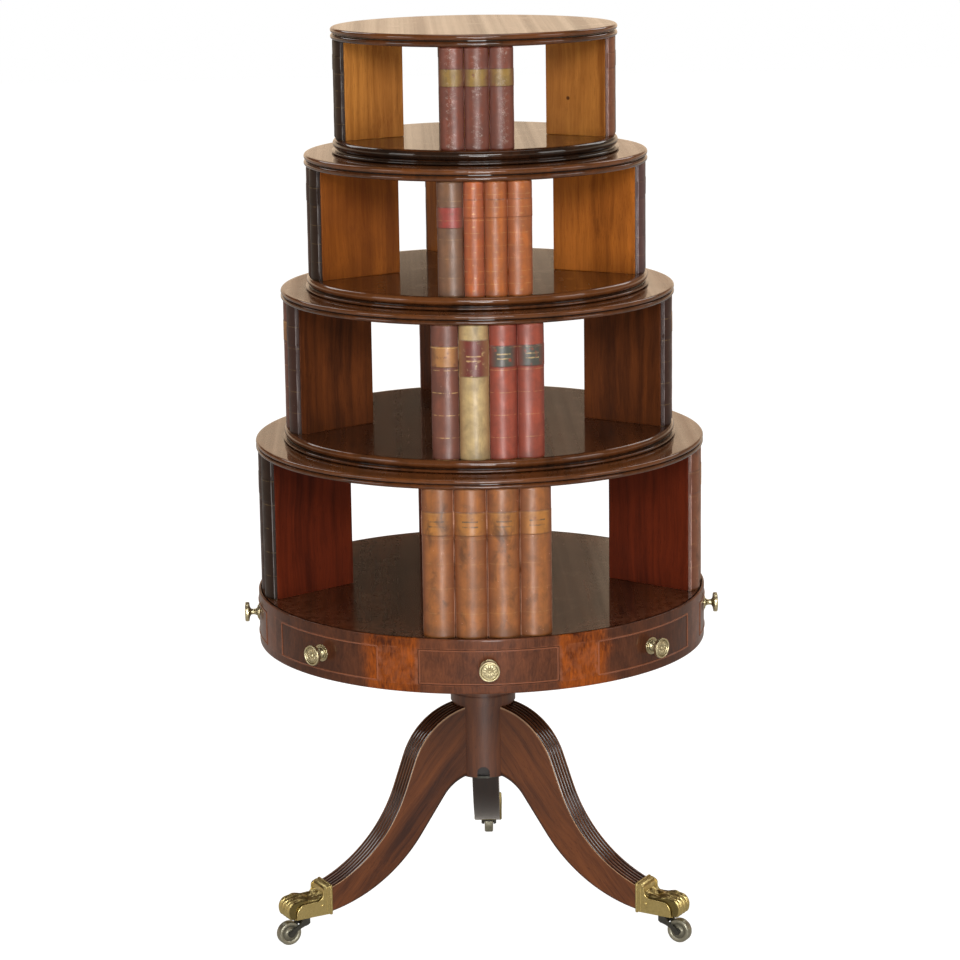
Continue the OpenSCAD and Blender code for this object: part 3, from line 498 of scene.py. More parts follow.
def material(name):
    """The material of that name, made on first use."""
    if name in MATERIALS:
        return MATERIALS[name]
    colours = finish()
    upright = (0, math.radians(90), 0)
    leg = {"dark": colours.leg_dark, "light": colours.leg_light}
    shelf = {"dark": colours.shelf_dark, "light": colours.shelf_light, "turn": (0, 0, math.radians(90)),
             "rough": 0.3, "coat": 1.0, "sheen": 0.02, "relief": 0.0, "streaky": True}
    lining = {"dark": [c * 0.5 for c in colours.lining], "light": colours.lining, "rough": 0.6, "coat": 0.0}
    veneer = {"dark": colours.drawer_dark, "light": colours.drawer_light, "figure": "Flame figure",
              "coat": 0.25, "sheen": 0.1, "flame": True}
    woods = {
        "leg wood": {"turn": (0, math.radians(48), 0), "tone": colours.arris, "coat": 0.7, "sheen": 0.1,
                     "relief": 0.0, **leg},
        # Painted shade inside the column's notches and slots.
        "column wood": {"turn": upright, "rough": 0.4, "coat": 0.0, "sheen": 0.6, "painted_shade_within": (COLUMN_R - 2) * MM,
                        **leg},
        "board wood": {"tone": colours.bead, **shelf},
        "base wood": {"tone": colours.nosing, **shelf},
        "drum veneer": veneer,
        "lining wood": lining,
    }
    panel_extra = {1: {"tone": colours.panel_2_dark, "knot": PANEL_KNOT}, 2: {"tone": colours.panel_3_light}}
    for tier in TIER_BODY:
        woods[f"panel wood {tier}"] = {
            "dark": getattr(colours, f"panel_{tier}_dark"), "light": getattr(colours, f"panel_{tier}_light"),
            "turn": upright, "rough": 0.45, "coat": 0.0, "sheen": 0.12, **panel_extra.get(tier, {})}
    metals = {
        "brass": {"bright": colours.brass, "dull": colours.tarnish},
        "knob brass": {"bright": colours.knob, "dull": colours.knob, "dim": 0.4},
        "wheel brass": {"bright": colours.wheel, "dull": colours.wheel, "dim": 0.3, "rough": 0.45},
        "iron": {"bright": colours.iron, "dull": colours.iron, "dim": 0.5, "rough": 0.45},
        "steel": {"bright": colours.steel, "dull": colours.steel, "dim": 0.5, "rough": 0.3},
    }
    if name in woods:
        MATERIALS[name] = wood_material(name, **woods[name])
    else:
        MATERIALS[name] = metal_material(name, **metals[name])
    return MATERIALS[name]


# Mesh helpers

def form_layer(bm):
    """The layer that holds each vertex's form, made on first use."""
    layers = bm.verts.layers.float_color
    return layers["Form"] if "Form" in layers else layers.new("Form")


def clamp(value):
    return min(1.0, max(0.0, value))


def paint_form(bm, tone=None):
    """Turns the faces outwards and stores on each vertex how far it stands out, how deep it lies and a tone."""
    layer = form_layer(bm)
    bmesh.ops.recalc_face_normals(bm, faces=bm.faces)
    bm.normal_update()
    for vert in bm.verts:
        rise = 0.0
        for edge in vert.link_edges:
            away = edge.other_vert(vert).co - vert.co
            if away.length > 1e-7:
                rise += away.normalized().dot(vert.normal)
        rise /= max(1, len(vert.link_edges))
        painted = tone(vert) if tone else 0.0
        vert[layer] = (max(0.0, -rise), max(0.0, rise), painted, 1.0)


def make_piece(name, bm, surface, body, slot, nodes=(), place=None, sharp=38, tone=None, painted=False):
    """Turns a bmesh into a smooth-shaded piece that rides on a body and stands for CAD nodes."""
    if not painted:
        paint_form(bm, tone)
    mesh = bpy.data.meshes.new(name)
    bm.to_mesh(mesh)
    bm.free()
    mesh.polygons.foreach_set("use_smooth", [True] * len(mesh.polygons))
    mesh.set_sharp_from_angle(angle=math.radians(sharp))
    piece = bpy.data.objects.new(name, mesh)
    bpy.context.scene.collection.objects.link(piece)
    piece.data.materials.append(surface)
    if place is not None:
        piece.matrix_world = place
    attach(piece, body)
    if nodes:
        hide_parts(*nodes)
    return piece


def dress_node(name, surface):
    """Gives a CAD node that keeps its shape a better material."""
    slots = frame["nodes"][name].data.materials
    slots.clear()
    slots.append(surface)


def turned(degrees, away=0.0, z=0.0):
    """Placement that moves a piece out along X, then turns it about the bookcase's axis."""
    return Matrix.Rotation(math.radians(degrees), 4, "Z") @ Matrix.Translation((away, 0, z))


def arc(cx, cy, r, start, end, count):
    """Points of an arc, from a start angle to an end angle in degrees."""
    points = []
    for k in range(count + 1):
        angle = math.radians(start + (end - start) * k / count)
        points.append((cx + r * math.cos(angle), cy + r * math.sin(angle)))
    return points


def ring_sector(inner, outer, start, end, count):
    """Plan of a piece of a ring between two angles in degrees."""
    return arc(0, 0, outer, start, end, count) + arc(0, 0, inner, end, start, count)


def even_steps(spots, count):
    """Evenly spaced places along a broken line, each as the part it lies on and its share of that part."""
    lengths = [0.0]
    for a, b in zip(spots, spots[1:]):
        lengths.append(lengths[-1] + (b - a).length)
    at = 0
    for k in range(count + 1):
        want = lengths[-1] * k / count
        while at < len(lengths) - 2 and lengths[at + 1] < want:
            at += 1
        span = max(1e-9, lengths[at + 1] - lengths[at])
        yield at, min(1.0, (want - lengths[at]) / span)


def lathe(bm, profile, segments, shift=None, unit=1.0):
    """Revolves (r, z) points about Z. shift(r, z, angle) may change a point's r and z."""
    rings = []
    for r, z in profile:
        if r < 1e-6:
            rings.append([bm.verts.new((0, 0, z * unit))])
            continue
        ring = []
        for k in range(segments):
            angle = 2 * math.pi * k / segments
            ring_r, ring_z = shift(r, z, angle) if shift else (r, z)
            x, y = ring_r * math.cos(angle), ring_r * math.sin(angle)
            ring.append(bm.verts.new((x * unit, y * unit, ring_z * unit)))
        rings.append(ring)
    for low, high in zip(rings, rings[1:]):
        for k in range(segments):
            n = k + 1
            corners = (low[k % len(low)], low[n % len(low)], high[n % len(high)], high[k % len(high)])
            corners = tuple(dict.fromkeys(corners))
            if len(corners) > 2:
                bm.faces.new(corners)


def skin_rings(bm, rings, closed_rings=True, caps=True):
    """Joins rows of points into a skin and closes both ends."""
    rows = [[bm.verts.new(point) for point in ring] for ring in rings]
    count = len(rows[0])
    last = count if closed_rings else count - 1
    for low, high in zip(rows, rows[1:]):
        for k in range(last):
            n = (k + 1) % count
            bm.faces.new((low[k], low[n], high[n], high[k]))
    if caps:
        bm.faces.new(rows[0])
        bm.faces.new(rows[-1])
    return rows


def prism(bm, outline, z0, z1, round_edges=0.0):
    """Extrudes a plan outline, rounds its edges and insets its flat faces so that wear stays at the edges."""
    low = [bm.verts.new((x, y, z0)) for x, y in outline]
    high = [bm.verts.new((x, y, z1)) for x, y in outline]
    count = len(outline)
    made = [bm.faces.new(low), bm.faces.new(high)]
    for k in range(count):
        n = (k + 1) % count
        made.append(bm.faces.new((low[k], low[n], high[n], high[k])))
    bmesh.ops.recalc_face_normals(bm, faces=made)
    if round_edges:
        edges = {edge for face in made for edge in face.edges}
        keep = [edge for edge in edges if edge.calc_face_angle(0) > math.radians(25)]
        bevelled = bmesh.ops.bevel(bm, geom=keep, offset=round_edges, segments=2, profile=0.5, affect="EDGES")
        rounded = set(bevelled["faces"])
        flat = [face for face in bm.faces
                if face not in rounded and min(edge.calc_length() for edge in face.edges) > 3 * GUARD]
        if flat:
            bmesh.ops.inset_individual(bm, faces=flat, thickness=GUARD, use_even_offset=True)


def grid(bm, rows):
    """A skin over rows of points, open at its edges; returns the vertices."""
    return skin_rings(bm, rows, closed_rings=False, caps=False)


def slab(bm, outline, middle, layers, side):
    """A flat plate upright in X and Z from (y, inset) layers drawn in to its middle, in millimetres."""
    rings = []
    for y, inset in layers:
        ring = []
        for point in outline:
            spot = Vector(point)
            spot += (middle - spot).normalized() * inset
            ring.append((spot.x * MM, side * y * MM, spot.y * MM))
        rings.append(ring)
    skin_rings(bm, rings)


# Boards

def jitter(size, step):
    """A small unevenness of a hand-made edge."""
    def shift(r, z, angle):
        point = Vector((r * math.cos(angle), r * math.sin(angle), z)) / step
        return r + noise.noise(point) * size, z
    return shift


def reeded_profile(r, z0, z1, shaded_r):
    """Two round beads with a sunk groove between, on a flat board. Inside shaded_r the tier above covers it."""
    thick = z1 - z0
    bead = thick * 0.235
    sink = thick * 0.06
    middle = (z0 + z1) / 2
    lower = arc(r - bead, z0 + bead, bead, -90, 62, 10)
    upper = arc(r - bead, z1 - bead, bead, -62, 90, 10)
    groove = [(r - bead - sink, middle - sink * 0.5), (r - bead - sink, middle + sink * 0.5)]
    flat = 4 * MM
    fade = 6 * MM
    return ([(0, z0), (r * 0.5, z0), (r - bead - flat, z0)] + lower + groove + upper
            + [(r - bead - flat, z1), (shaded_r + fade, z1), (shaded_r, z1), (r * 0.5, z1), (0, z1)])


def nosed_profile(r, z0, z1):
    """A rounded nose over a sunk line and a thin bead at the foot."""
    out = 1.5 * MM
    bead = 2 * MM
    quirk = 1.5 * MM
    nose = (z1 - z0 - 2 * bead - quirk) / 2
    foot = arc(r + out - bead, z0 + bead, bead, -90, 80, 8)
    sunk = [(r - nose * 0.7, z0 + 2 * bead + quirk * 0.2), (r - nose * 0.7, z0 + 2 * bead + quirk)]
    top = arc(r - nose, z1 - nose, nose, -70, 90, 14)
    flat = 4 * MM
    return ([(0, z0), (r * 0.5, z0), (r - flat, z0)] + foot + sunk + top
            + [(r - nose - flat, z1), (r * 0.5, z1), (0, z1)])


class BOOKCASE_OT_boards(bpy.types.Operator):
    """Round boards over and under each tier"""
    bl_idname = "bookcase.boards"
    bl_label = "Boards"

    def execute(self, context):
        uneven = jitter(0.12 * MM, 12 * MM)
        edge = 4 * MM
        # Worn colour on the boards' edges, also painted light: the upper bead and the upper nose are painted
        # lighter than the lower ones, and the ring of each board left open by the tier above is painted
        # lighter, as if lit from above.
        upper_bead_wear_and_light, low_bead_wear, ring_wear_and_light = 0.36, 0.12, 0.4
        upper_nose_wear_and_light, low_nose_wear, nose_high = {2: 0.42, 3: 0.22}, 0.08, 9 * MM
        for tier, body in TIER_BODY.items():
            name = f"tier{tier}_top"
            low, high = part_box(name)
            rim = (high.x - low.x) / 2
            shaded_r = rim * 0.8
            if tier > 1:
                above_low, above_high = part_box(f"tier{tier - 1}_base")
                shaded_r = (above_high.x - above_low.x) / 2

            def board_tone(vert, tier=tier, rim=rim, shaded_r=shaded_r, middle=(low.z + high.z) / 2):
                reach = vert.co.xy.length
                if reach > rim - edge:
                    return upper_bead_wear_and_light if vert.co.z > middle else low_bead_wear
                exposed_ring = tier > 1 and vert.co.z > middle and reach > shaded_r + 1 * MM
                return ring_wear_and_light if exposed_ring else 0.0

            bm = bmesh.new()
            lathe(bm, reeded_profile(rim, low.z, high.z, shaded_r), BOARD_STEPS, uneven)
            make_piece(f"top_board_{tier}", bm, material("board wood"), body, "dark_mahogany", [name],
                       tone=board_tone)
            if tier == 4:
                continue
            name = f"tier{tier}_base"
            low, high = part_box(name)

            def nose_tone(vert, tier=tier, rim=rim, top=high.z):
                if vert.co.xy.length < rim - edge:
                    return 0.0
                if tier == 1:
                    return 1.0 if vert.co.z < top - 1.5 * MM else 0.0
                return upper_nose_wear_and_light[tier] if vert.co.z > top - nose_high else low_nose_wear

            bm = bmesh.new()
            lathe(bm, nosed_profile(rim, low.z, high.z), BOARD_STEPS, uneven)
            wood = "base wood" if tier == 1 else "board wood"
            make_piece(f"base_board_{tier}", bm, material(wood), body, "dark_mahogany", [name], tone=nose_tone)
        return {"FINISHED"}


# Pillars and books

def tier_plan(tier):
    """Radii and angles of a tier's pillars, in millimetres and degrees."""
    low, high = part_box(f"tier{tier}_top")
    rim = (high.x - low.x) / 2 / MM
    widths = BOOK_WIDTHS[tier]
    crown = rim - CROWN_INSET
    back = crown - BOW_SHARE * max(widths) - SPINE_SIDE
    arcs = [2 * math.degrees(math.atan(w / 2 / back)) for w in widths]
    half = sum(arcs) / 2
    angles = [sum(arcs[:k]) + arcs[k] / 2 - half for k in range(len(arcs))]
    corner = rim - PILLAR_DEPTH[tier]
    tip = Vector((back * math.cos(math.radians(half)), back * math.sin(math.radians(half))))
    wedge = math.atan2(tip.y, tip.x - corner)
    return {"crown": crown, "back": back, "angles": angles, "corner": corner, "wedge": wedge, "tip": tip}


def panel_outline(plan, side):
    """Plan of one side panel, from the inner corner to the books."""
    inside = plan["corner"] + PANEL_THICK / math.sin(plan["wedge"])
    direction = Vector((math.cos(plan["wedge"]), math.sin(plan["wedge"])))
    joint = 0.05
    outer = plan["tip"]
    inner = outer - Vector((-direction.y, direction.x)) * PANEL_THICK
    points = [Vector((plan["corner"] + joint, joint)), outer, inner, Vector((inside, joint))]
    return [(p.x * MM, p.y * side * MM) for p in points]


def backing_outline(plan):
    """Plan of the curved board behind the books."""
    half = math.degrees(math.asin((plan["tip"].y - PANEL_THICK * 1.6) / plan["back"]))
    outer = plan["back"] - 0.3
    return ring_sector((outer - BACKING_THICK) * MM, outer * MM, -half, half, 12)


class BOOKCASE_OT_pillars(bpy.types.Operator):
    """Wedge pillars that part the shelves"""
    bl_idname = "bookcase.pillars"
    bl_label = "Pillars"

    def execute(self, context):
        slots = {1: "golden_mahogany", 2: "golden_mahogany", 3: "mahogany", 4: "mahogany"}
        darkened = {(1, "right"): 0.3, (2, "left"): 0.55}
        for tier, body in TIER_BODY.items():
            plan = tier_plan(tier)
            low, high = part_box(f"tier{tier}_pillars")
            for face, angle in FACES.items():
                bm = bmesh.new()
                for side in (1, -1):
                    prism(bm, panel_outline(plan, side), low.z, high.z, shape().panel_round)
                prism(bm, backing_outline(plan), low.z, high.z)
                share = darkened.get((tier, face), 0.0)
                make_piece(f"pillar_{tier}_{face}", bm, material(f"panel wood {tier}"), body, slots[tier],
                           [f"tier{tier}_pillars"], turned(angle + TIER_TURN[tier]),
                           tone=lambda vert, share=share: share)
        return {"FINISHED"}


def book_styles():
    """Leathers, labels and tooling of the dummy books."""
    gilt = tuple(finish().gilt)
    silver = tuple(finish().silver)
    plain = {"label_span": (0.69, 0.845), "panels": 6.0, "rule_width": 0.004, "rules": 0.2, "flowers": 0.0,
             "scroll": 0.0, "stain": 0.35, "chips": 0.3, "hinge": 0.4, "gilt": gilt, "gloss": 0.65,
             "dashes": 0.0, "dash": gilt}

    def style(leather, label=None, **changes):
        return {**plain, "leather": leather, "label": label or leather, **changes}

    return {
        "maroon": style((0.162, 0.034, 0.014), (0.27, 0.155, 0.026), label_span=(0.62, 0.79), scroll=0.3,
                        gilt=silver, rules=0.0, hinge=0.6),
        "drab": style((0.165, 0.074, 0.033), (0.30, 0.035, 0.022), label_span=(0.60, 0.78), rules=0.15),
        "russet": style((0.39, 0.088, 0.017), rules=0.3, flowers=0.35, panels=9.0, rule_width=0.003),
        "tan": style((0.375, 0.098, 0.015), rules=0.25, flowers=0.2, panels=9.0, rule_width=0.003),
        "brown": style((0.165, 0.050, 0.028), (0.40, 0.175, 0.050), rules=0.6, rule_width=0.003),
        "cream": style((0.47, 0.33, 0.145), (0.14, 0.019, 0.010), label_span=(0.62, 0.89), rules=0.0, stain=0.5,
                       dashes=0.6),
        "red": style((0.30, 0.052, 0.024), (0.060, 0.060, 0.046), rules=0.3, rule_width=0.0025, stain=0.25,
                     dashes=0.6),
        "calf": style((0.285, 0.094, 0.020), (0.40, 0.155, 0.026), rules=0.1, stain=0.8, chips=0.9, hinge=0.9,
                      dashes=0.8, dash=(0.05, 0.035, 0.022)),
        "black": style((0.030, 0.015, 0.008), rules=0.1, chips=0.4, hinge=0.8, gloss=0.2),
        "umber": style((0.050, 0.019, 0.012), rules=0.1, chips=0.4, hinge=0.8, gloss=0.3),
        "mauve": style((0.095, 0.038, 0.038), rules=0.1, hinge=0.9),
        "chestnut": style((0.22, 0.070, 0.024), rules=0.1, stain=0.8, chips=0.9, hinge=0.8),
    }


# Leathers of each stack from left to right, by tier and face. The photo shows the front in full.
STACKS = {
    1: {"front": ("maroon", "maroon", "maroon"), "right": ("chestnut", "umber", "maroon"),
        "back": ("umber", "maroon", "umber"), "left": ("umber", "black", "black")},
    2: {"front": ("drab", "russet", "tan", "tan"), "right": ("mauve", "umber", "russet", "mauve"),
        "back": ("tan", "russet", "umber", "drab"), "left": ("umber", "russet", "umber", "black")},
    3: {"front": ("brown", "cream", "red", "red"), "right": ("umber", "brown", "red", "umber"),
        "back": ("red", "brown", "umber", "red"), "left": ("brown", "umber", "brown", "umber")},
    4: {"front": ("calf", "calf", "calf", "calf"), "right": ("chestnut", "calf", "chestnut", "calf"),
        "back": ("calf", "calf", "chestnut", "calf"), "left": ("calf", "umber", "umber", "black")},
}


def spine_rows(height, label):
    """Heights along a spine in millimetres, close together at its ends and at its label's edges."""
    ends = (0.0, 0.5, 1.1, 1.8, 2.6, 4.0)
    rows = {*ends, *(height - end for end in ends)}
    for edge in label:
        rows.update(height * edge + offset for offset in (-0.9, -0.3, 0.3, 0.9))
    steps, nearest = 24, 0.4
    rows.update(height * k / steps for k in range(steps + 1))
    kept = []
    for row in sorted(rows):
        if not kept or row - kept[-1] > nearest:
            kept.append(row)
    return kept


def spine(bm, plan, width, z0, z1, label, seed, uv):
    """One smooth bowed book spine with a raised label and rounded head and tail."""
    draw = random.Random(seed)
    bow = BOW_SHARE * width
    bow_r = (width * width / 4 + bow * bow) / (2 * bow)
    centre = plan["crown"] - bow_r
    gap, steps = 0.15, 20
    half = width / 2 - gap
    swing = math.asin(half / bow_r)
    across = [-1 + 2 * k / steps for k in range(steps + 1)]
    end_drop, end_high, uneven = 1.1, 2.6, 0.22
    height = (z1 - z0) / MM
    lean = draw.uniform(-0.2, 0.2)
    back = plan["back"]
    rows = spine_rows(height, label)
    rings = []
    for row in rows:
        along = row / height
        inside = min(row - label[0] * height, label[1] * height - row)
        rise = shape().label_out / MM * clamp(0.5 + inside / 0.6)
        rise -= end_drop * max(0.0, 1 - min(row, height - row) / end_high) ** 2
        ring = [(back + 0.2, -half), (back + SPINE_SIDE * 0.5, -half)]
        for u in across:
            angle = swing * u
            r = bow_r + rise + noise.noise(Vector((u * 2.5, row * 0.055, seed * 7.3))) * uneven
            ring.append((centre + r * math.cos(angle), r * math.sin(angle) + lean * (along - 0.5)))
        ring += [(back + SPINE_SIDE * 0.5, half), (back + 0.2, half)]
        rings.append([(x * MM, y * MM, z0 + row * MM) for x, y in ring])
    made = skin_rings(bm, rings)
    places = [-1.3, -1.15] + across + [1.15, 1.3]
    for row, verts in zip(rows, made):
        for place, vert in zip(places, verts):
            uv[vert] = (place, row / height)
    return [vert for verts in made for vert in verts]


class BOOKCASE_OT_books(bpy.types.Operator):
    """Dummy book spines on the pillars"""
    bl_idname = "bookcase.books"
    bl_label = "Books"

    def execute(self, context):
        styles = book_styles()
        leathers = {name: book_material(f"{name} leather", style) for name, style in styles.items()}
        for tier, body in TIER_BODY.items():
            plan = tier_plan(tier)
            low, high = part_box(f"tier{tier}_books")
            used = sorted({name for stack in STACKS[tier].values() for name in stack})
            for name in used:
                bm = bmesh.new()
                layer = bm.loops.layers.uv.new("Spine")
                form = form_layer(bm)
                uv = {}
                tones = {}
                for turn, (face, stack) in enumerate(STACKS[tier].items()):
                    for place, leather in enumerate(stack):
                        if leather != name:
                            continue
                        seed = tier * 100 + place * 10 + turn
                        width = BOOK_WIDTHS[tier][place]
                        verts = spine(bm, plan, width, low.z, high.z, styles[name]["label_span"], seed, uv)
                        spin = math.radians(FACES[face] + TIER_TURN[tier] + plan["angles"][place])
                        bmesh.ops.rotate(bm, verts=verts, cent=(0, 0, 0), matrix=Matrix.Rotation(spin, 3, "Z"))
                        tone = random.Random(seed).random()
                        tones.update((vert, tone) for vert in verts)
                for face in bm.faces:
                    for loop in face.loops:
                        loop[layer].uv = uv[loop.vert]
                paint_form(bm)
                for vert, tone in tones.items():
                    vert[form].z = tone
                make_piece(f"books_{tier}_{name}", bm, leathers[name], body, f"book_leather_{tier}",
                           [f"tier{tier}_books"], sharp=50, painted=True)
        return {"FINISHED"}


# Drum and drawers

def curved_plate(bm, r0, r1, half, z0, z1, edge):
    """A plate curved round the axis, from -half to half across, with softened edges."""
    count, levels = 28, 8
    spots = [-half, -half + GUARD] + [half * (2 * k / count - 1) for k in range(1, count)]
    spots += [half - GUARD, half]
    heights = [z0 + (z1 - z0) * k / levels for k in range(1, levels)]
    rings = []
    for y in spots:
        outer = math.sqrt(r1 * r1 - y * y)
        inner = math.sqrt(r0 * r0 - y * y)
        ring = [(inner, y, z0), (outer - edge, y, z0), (outer - edge * 0.3, y, z0 + edge * 0.3),
                (outer, y, z0 + edge), (outer, y, z0 + edge + GUARD)]
        ring += [(outer, y, z) for z in heights]
        ring += [(outer, y, z1 - edge - GUARD), (outer, y, z1 - edge),
                 (outer - edge * 0.3, y, z1 - edge * 0.3), (outer - edge, y, z1), (inner, y, z1)]
        rings.append(ring)
    skin_rings(bm, rings)


def bead_strip(bm, r, points, width, out):
    """A half-round bead on the drum's face along (across, z) points."""
    rings = []
    count = 8
    for k, (y, z) in enumerate(points):
        before = Vector(points[max(0, k - 1)])
        after = Vector(points[min(len(points) - 1, k + 1)])
        along = (after - before).normalized()
        over = Vector((-along.y, along.x))
        ring = []
        for n in range(count + 1):
            angle = math.pi * n / count
            side = math.cos(angle) * width / 2
            rise = math.sin(angle) * out
            py, pz = y + over.x * side, z + over.y * side
            base = math.sqrt(r * r - py * py)
            ring.append((base + rise - 0.4 * MM, py, pz))
        rings.append(ring)
    skin_rings(bm, rings)


def drawer_front(bm, r, half, z0, z1):
    """A curved drawer face with its cock bead on all four edges; returns the bead's vertices."""
    bead = shape().cock_bead
    curved_plate(bm, r - FRONT_THICK * MM, r, half, z0, z1, 0.5 * MM)
    bm.verts.ensure_lookup_table()
    plain = len(bm.verts)
    inset = bead / 2
    out = 1.5 * MM
    steps, rise_steps = 28, 6
    across = [half * (2 * k / steps - 1) * (1 - inset / half) for k in range(steps + 1)]
    bead_strip(bm, r, [(y, z0 + inset) for y in across], bead, out)
    bead_strip(bm, r, [(y, z1 - inset) for y in across], bead, out)
    rise = [z0 + inset + (z1 - z0 - 2 * inset) * k / rise_steps for k in range(rise_steps + 1)]
    for side in (1, -1):
        bead_strip(bm, r, [(side * (half - inset), z) for z in rise], bead, out)
    bm.verts.ensure_lookup_table()
    return [bm.verts[k] for k in range(plain, len(bm.verts))]


def drum_sizes():
    """Radius and heights of the drum and of its drawers."""
    low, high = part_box("drum_top")
    face_low, face_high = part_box("front_drawer_face")
    sham_low, sham_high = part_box("sham_fronts")
    return {"r": (high.y - low.y) / 2, "top": high.z, "top_low": low.z, "half": (face_high.x - face_low.x) / 2,
            "low": face_low.z, "high": face_high.z, "sham_low": sham_low.z, "sham_high": sham_high.z}


def degrees_from_front(vert):
    """Angle round the drum from the middle of the front drawer or of the back one."""
    return abs(abs(math.degrees(math.atan2(vert.co.y, vert.co.x))) - 90)


def flame_share(vert):
    """How far the light figure shows at a place on the drum: beside the front and back drawers, fading out."""
    begins, ends, sharp, soft = 17.2, 33.5, 0.6, 4.0
    away = degrees_from_front(vert)
    ragged = 3 * noise.noise(vert.co * 35)
    return clamp((away - begins) / sharp) * clamp((ends + ragged - away) / soft)


def drum_piece(name, bm, beads, body, nodes):
    """Paints the veneer's figure, the beads' wear and a painted shade line at their foot, and makes the piece.
    """
    form = form_layer(bm)
    paint_form(bm, flame_share)
    dirt, dirt_begins, dirt_ends = 0.15, 30, 66
    for vert in bm.verts:
        if dirt_begins < degrees_from_front(vert) < dirt_ends:
            vert[form].y = max(vert[form].y, dirt * (1.0 - vert[form].z))
    # Bead tops take full wear; the foot of each bead takes painted shade, a dark line where the bead meets the
    # face.
    face_r = drum_sizes()["r"]
    for vert in beads:
        foot = vert.co.xy.length < face_r + 0.1 * MM
        vert[form].x = 0.0 if foot else 1.0
        vert[form].y = 1.0 if foot else 0.0
    return make_piece(name, bm, material("drum veneer"), body, "flame_mahogany", nodes, painted=True)


def drum_band(bm, r, z0, z1, edge_low, edge_high):
    """A veneered ring round the drum with one softened edge."""
    deep = 5 * MM
    profile = [(r - deep, z0)]
    if edge_low:
        profile += arc(r - edge_low, z0 + edge_low, edge_low, -90, 0, 4)
    else:
        profile.append((r, z0))
    profile += [(r, z0 + (z1 - z0) * k / 4) for k in (1, 2, 3)]
    if edge_high:
        profile += arc(r - edge_high, z1 - edge_high, edge_high, 0, 90, 4)
    else:
        profile.append((r, z1))
    lathe(bm, profile + [(r - deep, z1), profile[0]], 240)


class BOOKCASE_OT_drum(bpy.types.Operator):
    """Drum under the tiers: its boards, uprights and fixed fronts"""
    bl_idname = "bookcase.drum"
    bl_label = "Drum"

    def execute(self, context):
        sizes = drum_sizes()
        r = sizes["r"]
        core = r - 3 * MM
        edge = 1.5 * MM
        base_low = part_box("drum_base")[0].z
        boards = (
            ("drum_table", "drum_top", sizes["top_low"], sizes["top"], 0.0, edge, "board wood"),
            ("drum_floor", "drum_base", base_low, sizes["sham_low"], edge, 0.0, "column wood"),
        )
        for name, stands_for, low, high, edge_low, edge_high, wood in boards:
            bm = bmesh.new()
            lathe(bm, [(0, low), (r * 0.5, low), (core, low), (core, high), (r * 0.5, high), (0, high)],
                  BOARD_STEPS)
            make_piece(name, bm, material(wood), "drum", "dark_mahogany", [stands_for])
            bm = bmesh.new()
            drum_band(bm, r, low, high, edge_low, edge_high)
            drum_piece(f"{name}_band", bm, (), "drum", [stands_for])
        bm = bmesh.new()
        opening = sizes["half"] + 0.6 * MM
        uprights = 8
        reach = 360 / uprights
        side = math.degrees(math.asin(opening / r))
        for k in range(uprights):
            plan = ring_sector(r - STILE_DEEP * MM, r, reach * k + side, reach * (k + 1) - side, 10)
            prism(bm, plan, sizes["sham_low"], sizes["sham_high"])
        drum_piece("drum_uprights", bm, (), "drum", ["drum_stiles"])
        for k, angle in enumerate(SHAM_ANGLES):
            bm = bmesh.new()
            form_layer(bm)
            beads = drawer_front(bm, r, opening, sizes["sham_low"], sizes["sham_high"])
            bm.transform(turned(angle))
            drum_piece(f"sham_front_{k + 1}", bm, beads, "drum", ["sham_fronts"])
        dress_node("drawer_guides", material("lining wood"))
        dress_node("turntable_plate", material("brass"))
        return {"FINISHED"}


class BOOKCASE_OT_drawers(bpy.types.Operator):
    """Drawers that slide out of the drum"""
    bl_idname = "bookcase.drawers"
    bl_label = "Drawers"

    def execute(self, context):
        sizes = drum_sizes()
        for face, angle in FACES.items():
            bm = bmesh.new()
            form_layer(bm)
            beads = drawer_front(bm, sizes["r"], sizes["half"], sizes["low"], sizes["high"])
            bm.transform(turned(angle))
            drum_piece(f"drawer_front_{face}", bm, beads, f"drawer_{face}", [f"{face}_drawer_face"])
            dress_node(f"{face}_drawer_box", material("lining wood"))
        return {"FINISHED"}


def knob(bm, petals):
    """A turned knob along Z: back plate, waisted stem and a dished head with a flower, in millimetres."""
    head, plate, stem, rim, dish = 14, 12, 4.2, 1.3, 18.9
    petal_in, petal_out, petal_high = 3.3, 9.2, 0.85
    profile = [(0, -0.5), (plate, -0.5)] + arc(plate - 0.8, 0.8, 0.8, -20, 90, 4)
    profile += [(plate - 2.4, 1.5)] + arc(plate - 3.4, 2.2, 0.9, -40, 120, 5)
    profile += [(7, 2.6), (5.4, 4.2), (stem, 7), (stem * 0.94, 10), (stem * 1.1, 12.5), (7.4, 14), (11, 14.8)]
    profile += arc(head - rim, 16.2, rim, -90, 0, 4) + arc(head - rim, dish + 0.5, rim, 0, 150, 7)
    profile += [(head - 2.9, dish)] + arc(head - 4.0, dish, 0.8, 10, 170, 5)
    profile += [(9, dish), (8, dish + 0.1), (7, dish + 0.2), (6, dish + 0.3), (5, dish + 0.3), (4, dish + 0.1)]
    profile += [(3.2, dish)] + arc(0, dish - 1.4, 3.2, 26, 90, 5)[:-1] + [(0, dish + 1.8)]

    def flower(r, z, angle):
        if z < dish - 0.05 or not petal_in < r < petal_out:
            return r, z
        fade = math.sin(math.pi * (r - petal_in) / (petal_out - petal_in))
        return r, z + petal_high * fade * abs(math.cos(angle * petals / 2))

    lathe(bm, profile, 96, flower, MM)


